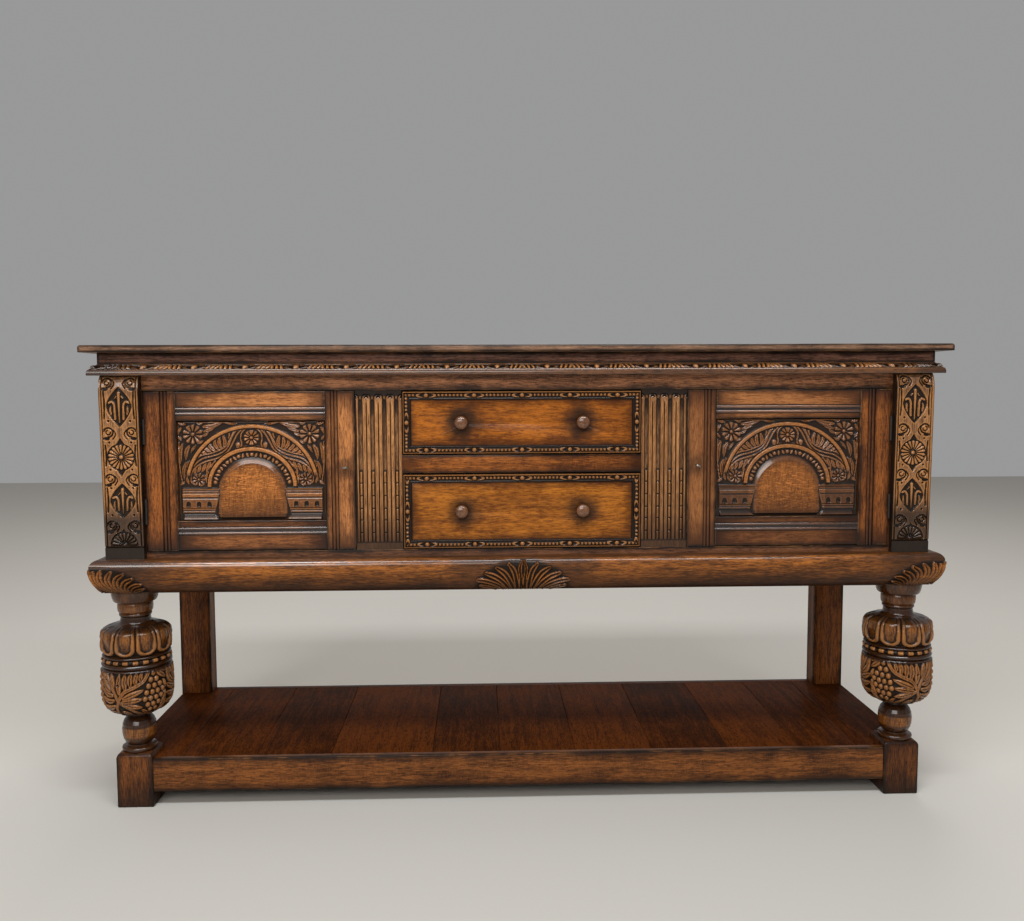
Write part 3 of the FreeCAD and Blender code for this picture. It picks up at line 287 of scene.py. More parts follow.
def oak(name, light, dark, grain="X", seed=0.0, box=None, dirt=0.0, ends=0.0, halos=(), foot=None,
        carved=False, figure=0.0, boards=False, calm=1.0, gloss=0.4, wear_and_highlight=0.5, sheen=0.1, rough=0.3,
        lacquer=1.42):
    """A finished oak. Gloss is the weight of its coat and lacquer that coat's index, sheen is the
    wood's own shine, wear_and_highlight lightens carved ridges with rubbed wear and painted highlight,
    and rough is the depth of the open grain."""
    wood = Oak(name, light, dark, grain, seed, figure, boards, calm)
    if box:
        wood.edges(box, dirt, ends)
    for halo in halos:
        wood.halo(*halo)
    if foot:
        wood.darker_below(*foot)
    coat = wood.carving(wear_and_highlight) * gloss if carved else gloss
    fine, pore = wood.fine, wood.pore
    dull = 0.58 - 0.26 * gloss + fine.sway(0.16) + wood.blotch.sway(0.14) + pore * 0.12
    wood.surface(Base_Color=wood.colour, Roughness=dull, Coat_Weight=coat, Coat_Roughness=0.15,
                 Coat_IOR=lacquer, Specular_IOR_Level=sheen,
                 Normal=wood.bump(fine * 0.5 - pore * 0.7 + wood.streak * 0.5, rough, 0.0006))
    return wood.block


def iron(name, colour, rough):
    """Old forged metal, browned in patches and pitted."""
    metal = Finish(name)
    patch = metal.noise(metal.at, 90.0, 4.0, 0.65)
    pit = metal.noise(metal.at, 620.0, 2.0, 0.6)
    rusty = patch.ramp(0.44, 0.66)
    metal.surface(Base_Color=metal.mix(rusty, colour, tone(0.030, 0.017, 0.011)),
                  Metallic=0.95 - rusty * 0.55,
                  Roughness=rough + patch.sway(0.4) + pit.sway(0.2),
                  Normal=metal.bump(pit, 0.35, 0.0004))
    return metal.block


# Carving, as heights in mm over a patch of wood

def unit(values):
    return np.clip(values, 0.0, 1.0)


def soft(distance, reach):
    """1 inside an outline, 0 outside it, over a sloped edge that reach wide."""
    return unit(0.5 - distance / reach)


def crown(distance, half):
    """A rounded bar's section: 1 on its middle line, 0 at half its width."""
    return np.sqrt(unit(1.0 - (distance / np.maximum(half, 1e-6)) ** 2))


def repeat(values, period):
    """Offsets from the middle of each repeat of a pattern."""
    return values % period - period / 2


def smooth_line(points, steps=7):
    """A smooth line through points, as many small straight runs."""
    spots = np.array(points, float)
    if len(spots) < 3:
        return spots
    ends = np.vstack([2 * spots[0] - spots[1], spots, 2 * spots[-1] - spots[-2]])
    share = np.linspace(0.0, 1.0, steps, endpoint=False)[:, None]
    runs = []
    for a, b, c, d in zip(ends, ends[1:], ends[2:], ends[3:]):
        runs.append(0.5 * (2 * b + (c - a) * share + (2 * a - 5 * b + 4 * c - d) * share ** 2
                           + (3 * b - a - 3 * c + d) * share ** 3))
    return np.vstack(runs + [spots[-1:]])


class Carving:
    """Heights over a patch of wood: u is to the right and v is up, in mm."""

    def __init__(self, u, v, height=0.0):
        self.u = u
        self.v = v
        self.height = np.full(np.broadcast(u, v).shape, float(height))

    def rise(self, shape, top):
        self.height = np.maximum(self.height, top * shape)

    def sink(self, shape, floor):
        self.height = self.height + (np.minimum(self.height, floor) - self.height) * shape

    def along(self, line, reach=16.0):
        """Distance from a line and the share of its length at the nearest point, near the line only."""
        line = np.asarray(line, float)
        low = line.min(0) - reach
        high = line.max(0) + reach
        close = (self.u > low[0]) & (self.u < high[0]) & (self.v > low[1]) & (self.v < high[1])
        u = self.u[close]
        v = self.v[close]
        lengths = np.hypot(*(line[1:] - line[:-1]).T)
        before = np.concatenate([[0.0], np.cumsum(lengths)])
        near = np.full(u.shape, 1e9)
        share = np.zeros(u.shape)
        for (a, b), length, start in zip(zip(line, line[1:]), lengths, before):
            if length < 1e-9:
                continue
            du = u - a[0]
            dv = v - a[1]
            run = unit((du * (b[0] - a[0]) + dv * (b[1] - a[1])) / length ** 2)
            away = np.hypot(du - run * (b[0] - a[0]), dv - run * (b[1] - a[1]))
            nearer = away < near
            near = np.where(nearer, away, near)
            share = np.where(nearer, (start + run * length) / before[-1], share)
        near_all = np.full(self.height.shape, 1e9)
        share_all = np.zeros(self.height.shape)
        near_all[close] = near
        share_all[close] = share
        return near_all, share_all

    def stem(self, points, width, top):
        """A rounded bar along a smooth line, with a vein cut along it."""
        near = self.along(smooth_line(points))[0]
        self.rise(crown(near, width / 2) * (1.0 - 0.35 * crown(near, width * 0.14)), top)

    def groove(self, points, width, floor):
        near = self.along(smooth_line(points))[0]
        self.sink(soft(near - width / 2, 1.0), floor)

    def leaf(self, points, width, top, vein=0.5):
        """A leaf along a bowed line, widest before its middle, with a cut midrib and ribs."""
        near, share = self.along(smooth_line(points))
        half = width / 2 * np.sin(np.pi * unit(share * 0.86 + 0.10) ** 0.85) ** 0.75
        body = crown(near, np.maximum(half, 0.05)) ** 0.55
        rib = 0.95 + 0.05 * np.cos(share * 14.0 - near * 0.9)
        self.rise(body * rib * (1.0 - vein * crown(near, np.maximum(width * 0.07, 0.7))), top)

    def foliage(self, stems, leaves, top, stem_share=1.0, leaf_share=1.0):
        """Stems and leaves, each a width and the points of its line; the shares thin or widen them."""
        for width, *points in stems:
            self.stem(points, width * stem_share, top)
        for width, *points in leaves:
            self.leaf(points, width * leaf_share, top)

    def lobe(self, points, width, top):
        """A hollow lobe: a raised rim along both sides and a sunk middle."""
        near, share = self.along(smooth_line(points))
        half = width / 2 * np.clip(1.15 * np.sin(np.pi * unit(share * 0.8 + 0.1)) ** 0.6, 0.1, 1.0)
        rim = crown(near - half * 0.70, half * 0.33)
        self.rise(np.maximum(rim, 0.22 * soft(near - half * 0.8, 1.0)), top)

    def dome(self, centre, radius, top):
        self.rise(crown(np.hypot(self.u - centre[0], self.v - centre[1]), radius), top)

    def rosette(self, centre, radius, petals, top, boss=0.22, gap=1.3):
        """Round-backed petals with a dark gap between them, about a small boss."""
        du = self.u - centre[0]
        dv = self.v - centre[1]
        reach = np.hypot(du, dv)
        sector = FULL_TURN / petals
        off = np.abs(repeat(np.arctan2(dv, du), sector))
        half = np.maximum(sector / 2 * reach - gap / 2, 0.05)
        edge = radius * (1.0 - 0.20 * (off / sector * 2) ** 2)
        petal = crown(off * reach, half) ** 0.7 * soft(reach - edge + 0.5, 1.2)
        petal = petal * unit(0.35 + 0.75 * reach / radius) * (reach > radius * boss * 1.3)
        self.rise(petal, top)
        self.dome(centre, radius * boss, top)


def blurred(height, reach):
    """Heights averaged over a square of that many cells to each side."""
    size = 2 * reach + 1
    for axis in (0, 1):
        count = height.shape[axis]
        padded = np.concatenate([np.repeat(height.take([0], axis), reach + 1, axis), height,
                                 np.repeat(height.take([-1], axis), reach, axis)], axis)
        total = np.cumsum(padded, axis)
        height = (total.take(range(size, size + count), axis) - total.take(range(count), axis)) / size
    return height


def shaded_right_half(stain_and_shade, hand, share):
    """Painted shade: the right half of the dresser darkened, as if the light fell from the left."""
    return stain_and_shade + (1.0 - stain_and_shade) * share if hand == "right" else stain_and_shade


# Meshes

def alone(piece):
    bpy.ops.object.select_all(action="DESELECT")
    piece.select_set(True)
    bpy.context.view_layer.objects.active = piece


@contextmanager
def editing(piece):
    alone(piece)
    bpy.ops.object.mode_set(mode="EDIT")
    yield
    bpy.ops.object.mode_set(mode="OBJECT")


def named(piece, name):
    piece.name = name
    piece.data.name = name
    return piece


def stamp(piece, name, values):
    """Give each point of a piece its value under that name."""
    layer = piece.data.attributes.new(name, "FLOAT", "POINT")
    layer.data.foreach_set("value", np.ascontiguousarray(values, np.float32).reshape(-1))


def sheet(low, high, columns, rows):
    """Even points over a rectangle between two corners, as their two coordinates."""
    return np.meshgrid(np.linspace(low[0], high[0], columns + 1), np.linspace(low[1], high[1], rows + 1))


def relief(name, place, height, depth, back=None, reach=3, worn=0.8, stain_and_shade=0.0, polish=0.0):
    """A closed piece with a carved face: a grid of points at a place, in mm. The face's rim is carried
    straight back in y, or, with no back, the face wraps round to meet itself. Each point is stamped
    with how deep and proud it is, how stained and painted with shade it is, and how polished."""
    rows, columns = height.shape
    bpy.ops.object.select_all(action="DESELECT")
    bpy.ops.mesh.primitive_grid_add(x_subdivisions=columns - 1, y_subdivisions=rows - 1, size=1.0)
    piece = named(bpy.context.object, name)
    points = np.stack(np.broadcast_arrays(*place), -1) * MM
    piece.data.vertices.foreach_set("co", points.reshape(-1))
    ridge = unit(0.5 + (height - blurred(height, reach)) / (2 * worn))
    for key, values in (("depth", depth), ("ridge", ridge), ("stain_and_shade", stain_and_shade), ("polish", polish)):
        stamp(piece, key, np.broadcast_to(values, height.shape))
    piece.data.update()
    if back is None:
        close_ends(piece)
    else:
        close_back(piece, back)
    return piece


def close_back(piece, back):
    """Carry a carved face's rim straight back in y and close it behind."""
    with editing(piece):
        bpy.ops.mesh.select_mode(type="EDGE")
        bpy.ops.mesh.select_all(action="DESELECT")
        bpy.ops.mesh.select_non_manifold()
        bpy.ops.mesh.extrude_edges_move()
    count = len(piece.data.vertices)
    chosen = np.zeros(count, bool)
    piece.data.vertices.foreach_get("select", chosen)
    points = np.zeros(count * 3)
    piece.data.vertices.foreach_get("co", points)
    points.reshape(-1, 3)[chosen, 1] = back * MM
    piece.data.vertices.foreach_set("co", points)
    with editing(piece):
        bpy.ops.mesh.edge_face_add()
        bpy.ops.mesh.select_all(action="SELECT")
        bpy.ops.mesh.normals_make_consistent(inside=False)


def close_ends(piece):
    """Join a wrapped grid's seam and cap its open ends."""
    with editing(piece):
        bpy.ops.mesh.select_all(action="SELECT")
        bpy.ops.mesh.remove_doubles(threshold=2e-6)
        bpy.ops.mesh.select_all(action="DESELECT")
        bpy.ops.mesh.select_non_manifold()
        bpy.ops.mesh.edge_face_add()
        bpy.ops.mesh.select_all(action="SELECT")
        bpy.ops.mesh.fill_holes(sides=0)
        bpy.ops.mesh.normals_make_consistent(inside=False)


def block(low, high):
    """A plain box between two corners, in mm."""
    bpy.ops.object.select_all(action="DESELECT")
    bpy.ops.mesh.primitive_cube_add(size=1.0, location=(low + high) / 2 * MM, scale=(high - low) * MM)
    return bpy.context.object


def mortise(piece, low, high):
    """Cut a pocket between two corners, in mm, out of a piece."""
    chisel = block(low, high)
    alone(piece)
    cut = piece.modifiers.new("mortise", "BOOLEAN")
    cut.operation = "DIFFERENCE"
    cut.solver = "EXACT"
    cut.object = chisel
    bpy.ops.object.modifier_apply(modifier=cut.name)
    bpy.data.objects.remove(chisel, do_unlink=True)


def joined(pieces, name):
    alone(pieces[0])
    for piece in pieces[1:]:
        piece.select_set(True)
    bpy.ops.object.join()
    return named(bpy.context.object, name)


def finished(piece, node, finish, angle=50.0):
    """Smooth a new piece, give it its finish and put it in its CAD node's place."""
    alone(piece)
    bpy.ops.object.shade_smooth_by_angle(angle=math.radians(angle))
    if finish:
        piece.data.materials.clear()
        piece.data.materials.append(finish)
    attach(piece, frame["nodes"][node]["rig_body"])
    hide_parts(node)
    return piece


def bevelled(piece, width, segments, limit, angle=0.0):
    """Round a piece's edges by that many mm, by their angle in degrees or by their weight."""
    round_off = piece.modifiers.new("round_off", "BEVEL")
    round_off.width = width * MM
    round_off.segments = segments
    round_off.limit_method = limit
    round_off.angle_limit = math.radians(angle)
    bpy.ops.object.modifier_apply(modifier=round_off.name)


def eased(node, ease, finish, boards=False):
    """A board with its arrises rubbed round, from a merged copy of its CAD shape. Boards that lie
    side by side are each stamped with a shade of their own."""
    piece = frame["nodes"][node].copy()
    piece.data = piece.data.copy()
    named(piece, node + "_worn")
    piece.parent = None
    for key in list(piece.keys()):
        del piece[key]
    bpy.context.scene.collection.objects.link(piece)
    with editing(piece):
        bpy.ops.mesh.select_all(action="SELECT")
        bpy.ops.mesh.remove_doubles(threshold=1e-5)
        bpy.ops.mesh.dissolve_limited(angle_limit=math.radians(1.5))
    bevelled(piece, ease, 2, "ANGLE", 35.0)
    if boards:
        with editing(piece):
            bpy.ops.mesh.select_all(action="SELECT")
            bpy.ops.mesh.separate(type="LOOSE")
        planks = sorted(bpy.context.selected_objects, key=lambda made: made.bound_box[0][0])
        for count, plank in enumerate(planks):
            level = 0.5 + 0.18 * math.sin(2.4 * count + 0.7)
            stamp(plank, "board", np.full(len(plank.data.vertices), level))
        piece = joined(planks, node + "_worn")
    return finished(piece, node, finish, 30.0)


def dressed(finish, *nodes):
    """CAD nodes that keep their shape and take a better finish."""
    for node in nodes:
        slots = frame["nodes"][node].data.materials
        for count in range(len(slots)):
            slots[count] = finish


# The tones of this dresser's oak

AMBER = tone(0.42, 0.122, 0.009)
AMBER_DARK = tone(0.105, 0.026, 0.003)
HONEY = tone(0.55, 0.212, 0.064)
HONEY_DARK = tone(0.125, 0.038, 0.010)
BROWN = tone(0.34, 0.104, 0.018)
BROWN_DARK = tone(0.060, 0.016, 0.004)
DEEP_BROWN = tone(0.20, 0.070, 0.024)
DEEP_DARK = tone(0.030, 0.010, 0.005)
PLANK = tone(0.100, 0.025, 0.004)
PLANK_DARK = tone(0.018, 0.005, 0.0015)
LEG_BROWN = tone(0.25, 0.078, 0.016)
BARE = tone(0.27, 0.138, 0.061)
BARE_DARK = tone(0.12, 0.056, 0.022)


# Doors: reeded frame boards and the carved arch panels

# each arch: half its width, the height of its springing and that of its crown
OUTER_ARCH = (137.0, 73.0, 200.5)
INNER_ARCH = (90.5, 73.0, 152.5)
FIELD_ARCH = (67.0, 55.0, 122.0)
IMPOST_TOP = 71.0
PANEL_HALF = 156.6
PANEL_TALL = 212.5
PANEL_FACE = -224.5
PANEL_CELLS = (300, 206)
PANEL_RELIEF = 4.4
PLINTH_TOP = 14.0
LOW_ROSETTE = (113.0, 87.5)
VINE_STEMS = (
    # ring about the crown rosette, ending in a ball
    (3.4, (0, 198), (12, 195), (20.5, 186), (22.5, 174), (20.5, 163), (24, 155.5), (31, 156.5)),
    # ribbon of lines that sweeps down and round the low rosette
    (4.0, (19, 195), (30, 183), (39, 166), (48, 150), (60, 139), (77, 131.5), (94, 127), (110, 120),
     (122, 110), (129, 98), (129, 84), (120, 76)),
    (3.6, (30, 195), (41, 178), (49, 158.5), (63, 145), (82, 138), (102, 133), (117, 123), (127, 110)),
    (3.2, (38, 188), (46, 172), (54, 158), (70, 149), (88, 143), (106, 139), (120, 130)),
    # pear-shaped loop of foliage
    (3.2, (90, 169), (80, 181), (66, 189), (52, 190), (46, 184), (48, 176)),
    # along the frame in the corners
    (3.2, (108, 208), (82, 209.5), (44, 208)), (3.2, (152, 166), (153.5, 140), (151, 108), (147, 80)),
)
VINE_LEAVES = (
    # in the loop
    (7.5, (58, 158), (56, 168), (60, 182)), (7.5, (64, 154), (68, 165), (67, 180)),
    (7.5, (70, 152), (77, 162), (78, 175)), (7.5, (78, 149), (87, 157), (91, 167)),
    (7.0, (87, 147), (97, 153), (102, 160)), (6.5, (97, 144), (107, 148), (112, 152)),
    (5.5, (107, 141), (115, 142), (120, 141)),
    # over the low rosette
    (6.5, (78, 126), (82, 119), (90, 114)), (7.5, (88, 124), (92, 114), (97, 106)),
    (7.5, (98, 120), (102, 111), (106, 104)), (7.0, (109, 116), (112, 108), (115, 103)),
    (6.0, (118, 110), (121, 103), (122, 98)), (7.0, (95, 106), (93, 95), (97, 80)),
    (5.0, (102, 80), (107, 76), (114, 74)), (5.0, (100, 96), (97, 90), (96, 78)),
    # beside the crown rosette
    (5.5, (34, 151), (43, 146), (54, 138)), (4.2, (17, 158), (9, 156), (3, 158)),
    # sprays in the corners
    (9.5, (100, 200), (85, 201), (62, 207)), (7.5, (99, 190), (91, 192), (76, 198)),
    (6.0, (102, 181), (98, 182), (90, 187)), (9.0, (131, 159), (137, 148), (139, 130)),
    (8.5, (146, 162), (150, 146), (150, 122)), (6.0, (119, 159), (124, 152), (128, 145)),
    (7.5, (139, 124), (144, 108), (143, 88)), (5.0, (52, 208), (40, 206), (28, 207)),
    (6.0, (138, 205), (146, 206), (154, 209)), (6.0, (147, 198), (151, 192), (154, 184)),
    (5.0, (104, 205), (109, 206), (116, 210)), (4.5, (147, 172), (151, 176), (154, 180)),
    (5.5, (102, 170), (108, 166), (114, 164)), (5.0, (133, 126), (135, 116), (138, 106)),
    (6.0, (141, 84), (146, 80), (152, 76)), (5.5, (134, 80), (138, 90), (139, 102)),
    (4.0, (40, 196), (32, 200), (22, 203)),
)
# middle, half height and top of each moulding on the imposts
IMPOST_BANDS = ((66.2, 2.0, 3.6), (61.0, 3.0, 2.4), (53.8, 4.2, 4.8), (47.2, 2.0, 2.8), (24.0, 2.2, 3.6),
                (18.6, 2.4, 2.4))


def arch_distance(u, v, half, spring, crown_at):
    """Distance outside a round-headed outline; its head is part of an ellipse."""
    head = np.hypot(u / half, (v - spring) / (crown_at - spring))
    reach = np.hypot(u, v - spring) / np.maximum(head, 1e-6)
    return np.where(v > spring, (head - 1.0) * reach, np.abs(u) - half)


def bead_row(work):
    """Beads and leaf tips inside the inner band."""
    for count in range(13):
        angle = math.radians(count * 6.9)
        spot = np.array((79.0 * math.sin(angle), 73.0 + 67.5 * math.cos(angle)))
        if count % 3 == 0:
            work.dome(spot, 4.4, 3.8)
        else:
            lean = angle + math.radians(18.0 if count % 3 == 1 else -18.0)
            tip = 4.6 * np.array((math.sin(lean), math.cos(lean)))
            work.leaf([spot - tip, spot, spot + tip], 5.6, 3.4, 0.0)


def imposts(work, side, v):
    """Imposts, niches and plinths beside the arch field."""
    splay = np.where(v > 55.0, 70.0, 70.0 + (55.0 - v) * 0.26)
    pier = soft(splay - side, 1.6) * soft(side - 148.0, 1.2)
    for middle, half, top in IMPOST_BANDS:
        band = pier * soft(np.abs(v - middle) - half, 1.4)
        work.sink(band, top)
        work.rise(band, top)
    work.rise(pier * soft(np.abs(v - 36.5) - 9.6, 1.2), 3.4)
    for middle in (92.0, 114.0, 136.0):
        niche = np.where(v > 36.0, np.hypot(side - middle, v - 36.0) - 4.2,
                         np.maximum(np.abs(side - middle) - 4.2, 28.5 - v))
        work.sink(soft(niche, 1.2), -0.6)
    plinth = soft(69.0 + v - side, 2.0) * soft(side - 146.0, 1.2)
    work.rise(plinth * unit((13.5 - v) / 10.0) * soft(1.6 - v, 1.0), PANEL_RELIEF)


def panel_carving(u, v):
    """The arch panel's heights, its stain and painted shade, and its polish, from its bottom edge up and its
    middle out.
    """
    side = np.abs(u)
    work = Carving(side, v)
    over = soft(72.0 - v, 1.0)
    outer = arch_distance(u, v, *OUTER_ARCH)
    inner = arch_distance(u, v, *INNER_ARCH)
    work.rise(soft(outer, 1.0) * soft(-inner, 1.0) * over, 0.5)
    work.foliage(VINE_STEMS, VINE_LEAVES, 3.5, 0.95, 1.08)
    work.dome((28.8, 161.5), 5.4, 4.2)
    work.rosette((0.0, 176.5), 16.5, 11, 4.4, 0.24, 1.7)
    work.rosette(LOW_ROSETTE, 14.0, 9, 4.2, 0.24, 1.7)
    work.rosette((123.0, 184.0), 21.5, 10, 4.4, 0.20, 2.6)
    bands = soft(np.abs(outer) - 3.7, 1.6) * over * soft(98.0 - v, 10.0)
    bands = np.maximum(bands, soft(np.abs(inner) - 4.0, 1.6) * over)
    work.rise(bands, 4.8)
    work.sink(crown(np.abs(outer) - 4.8, 1.1) * over, 0.2)
    work.sink(crown(np.abs(inner) - 5.2, 1.1) * over, 0.2)
    bead_row(work)
    # arch field, its rim sloped outwards and widest at the crown
    field = arch_distance(u, v, *FIELD_ARCH)
    slope = 8.0 + 4.5 * unit((v - 55.0) / 67.0) ** 1.5
    work.sink(soft(field - slope, 1.0) * (v > 8.0) * (field < slope + 1.0), 0.4)
    work.rise(unit(1.0 - np.clip(field, 0.0, None) / slope) * soft(6.0 - v, 3.0), PANEL_RELIEF)
    imposts(work, side, v)
    # the dark border beside the frame
    rim = np.minimum(PANEL_HALF - side, np.minimum(v, PANEL_TALL - v))
    work.sink(soft(rim - 1.8, 1.2), 0.0)
    work.rise(crown(rim - 3.2, 1.4) * (v > PLINTH_TOP), 1.2)
    # stain and painted shade: darker foliage, most in the spandrels and round the low rosette, lighter
    # bands, and a field that darkens towards its foot and its rim
    stain_and_shade = np.where(v > IMPOST_TOP, np.where(outer > 0.0, 0.52, 0.34) * (1.0 - bands), 0.62)
    round_low = np.hypot(side - LOW_ROSETTE[0], v - LOW_ROSETTE[1])
    stain_and_shade = np.maximum(stain_and_shade, 0.66 * soft(round_low - 15.0, 4.0))
    stain_and_shade = np.where((np.abs(v - 53.8) < 4.6) & (side > 69.0), 0.34, stain_and_shade)
    inside = np.maximum(unit((66.0 - v) / 62.0) ** 1.1 * 0.9, unit(1.0 + field / 11.0) * 0.6)
    stain_and_shade = np.where(field < slope, np.where(field < 0.0, inside, 0.62), stain_and_shade)
    stain_and_shade = np.where(v < PLINTH_TOP, np.maximum(stain_and_shade, 0.7), stain_and_shade)
    return work.height, stain_and_shade, -0.2 * soft(field, 2.0)


def door_panel(hand, finish):
    node = hand + "_door_panel"
    low, high = span(node)
    x, z = sheet(low[::2], high[::2], *PANEL_CELLS)
    middle = (low[0] + high[0]) / 2
    u = x - middle
    v = z - span(hand + "_door_bottom_rail")[1][2]
    height, stain_and_shade, polish = panel_carving(u, v)
    # painted shade: the right door's panel darker, its piers most
    on_pier = (np.abs(u) > 84.0) & (v < IMPOST_TOP)
    stain_and_shade = shaded_right_half(stain_and_shade, hand, np.where(on_pier, 0.85, 0.30))
    shown = (np.abs(u) < PANEL_HALF) & (v > 0.0) & (v < PANEL_TALL)
    height = np.where(shown, height, -4.0)
    depth = unit(height / PANEL_RELIEF) * np.where(v < PLINTH_TOP, 0.45, 1.0)
    piece = relief(hand + "_arch_panel", (u + middle, PANEL_FACE - height, z), np.maximum(height, 0.0),
                   np.where(shown, depth, 1.0), high[1], stain_and_shade=np.where(shown, stain_and_shade, 0.2), polish=polish)
    return finished(piece, node, finish, 55.0)


# from a board's outer edge to its first reed, and from one reed to the next
REEDS = {"stile": (36.5, 7.2), "rail": (33.4, 10.4)}
REED_HALF = 3.1
REED_DEPTH = 3.0
# cells of a reeded board's grid, across the reeds and along them
REED_CELL = 0.65
RUN_CELL = 9.0
KEYHOLE = (0.37645, 0.73975)
# how far dirt reaches from a door board's ends, in metres, by the way of its grain
DIRTY_ENDS = {"Z": 0.048, "X": 0.070}
# each board's grain and tones, and how much of its light tone is left on the right door, which is painted
# shade
DOOR_BOARDS = {"hinge_stile": ("Z", tone(0.40, 0.122, 0.022), BROWN_DARK, 0.78),
               "lock_stile": ("Z", HONEY, HONEY_DARK, 0.56),
               "top_rail": ("X", HONEY, HONEY_DARK, 0.73),
               "bottom_rail": ("X", tone(0.31, 0.108, 0.030), BROWN_DARK, 0.60)}


def member_span(hand, part):
    """The corners of a door's stile, or of what shows of a rail between the stiles, in mm."""
    low, high = span(f"{hand}_door_{part}")
    if part.endswith("rail"):
        first = span(hand + "_door_hinge_stile")
        second = span(hand + "_door_lock_stile")
        low[0] = min(first[1][0], second[1][0])
        high[0] = max(first[0][0], second[0][0])
    return low, high


def door_board_oak(hand, part, seed):
    grain, light, dark, shaded_right_share = DOOR_BOARDS[part]
    light = scaled(light, shaded_right_share if hand == "right" else 1.0)
    low, high = member_span(hand, part)
    halos = [(HANDS[hand] * KEYHOLE[0], KEYHOLE[1], 0.032, 0.5)] if part == "lock_stile" else ()
    return oak(f"{hand}_door_{part}_oak", light, dark, grain, seed, (low * MM, high * MM), 0.011,
               DIRTY_ENDS[grain], halos, carved=True, figure=0.15, gloss=0.28, wear_and_highlight=0.12, lacquer=1.7)


def reeded_board(hand, part, finish):
    """A door's stile or rail with two round reeds run along it and both its edges eased."""
    node = f"{hand}_door_{part}"
    low, high = member_span(hand, part)
    stile = part.endswith("stile")
    across = 0 if stile else 2
    width = high[across] - low[across]
    fine = int(width / REED_CELL)
    coarse = int((high[2 - across] - low[2 - across]) / RUN_CELL)
    columns, rows = (fine, coarse) if stile else (coarse, fine)
    x, z = sheet(low[::2], high[::2], columns, rows)
    spot = x if stile else z
    outer_high = (low + high)[across] > sum(span(hand + "_door_panel"))[across]
    edge = high[across] - spot if outer_high else spot - low[across]
    start, apart = REEDS["stile" if stile else "rail"]
    first = start + REED_HALF
    reed = np.maximum(crown(edge - first, REED_HALF), crown(edge - first - apart, REED_HALF))
    away = np.abs(edge - first - apart / 2) - REED_HALF - apart / 2
    zone = away < 1.3
    arris = unit(1.0 - np.minimum(edge, width - edge) / 1.6)
    height = np.where(zone, REED_DEPTH * reed ** 0.8 - REED_DEPTH, 0.0) - 1.3 * arris ** 2
    depth = unit(np.where(zone, 0.05 + 0.95 * reed, 1.0) - 0.35 * arris)
    stain_and_shade = np.where(zone, 0.62 if stile else 0.45, 0.55 * soft(away - 3.0, 9.0))
    piece = relief(node + "_reeded", (x, FRONT - height, z), height, depth, high[1], 4, 4.0, stain_and_shade,
                   zone * (0.1 if stile else 1.0))
    return finished(piece, node, finish)


# Corbels on the front corners

CORBEL_WIDTH = 81.0
CORBEL_CELLS = (84, 372)
CORBEL_FOOT = 573.5
CORBEL_HEAD = 901.5
CORBEL_RELIEF = 4.0
DAISY = 765.0
FAN_FOOT = 579.0


def corbel_face(z):
    """How far the corbel's face stands out of the front, by height: a taper under a rounded head."""
    foot_out, head_out, fall = 14.0, 21.0, 12.0
    radius, rise = 36.0, 34.0
    taper = foot_out + (head_out - foot_out) * (z - CORBEL_FOOT) / (CORBEL_HEAD - CORBEL_FOOT)
    bent = np.sqrt(np.clip(radius ** 2 - np.clip(z - CORBEL_HEAD, 0.0, rise) ** 2, 0.0, None))
    head = head_out - (radius - bent) * fall / (radius - math.sqrt(radius ** 2 - rise ** 2))
    return np.where(z > CORBEL_HEAD, head, np.where(z < CORBEL_FOOT, foot_out, taper))


def pointed_oval(side, z, low, wide, high, half):
    """Distance across from an oval that is pointed at both ends and widest at wide."""
    share = np.where(z < wide, (z - low) / (wide - low), (high - z) / (high - wide))
    return side - half * (1.0 - (1.0 - unit(share)) ** 1.65) + np.where(share < 0.0, 9.0, 0.0)


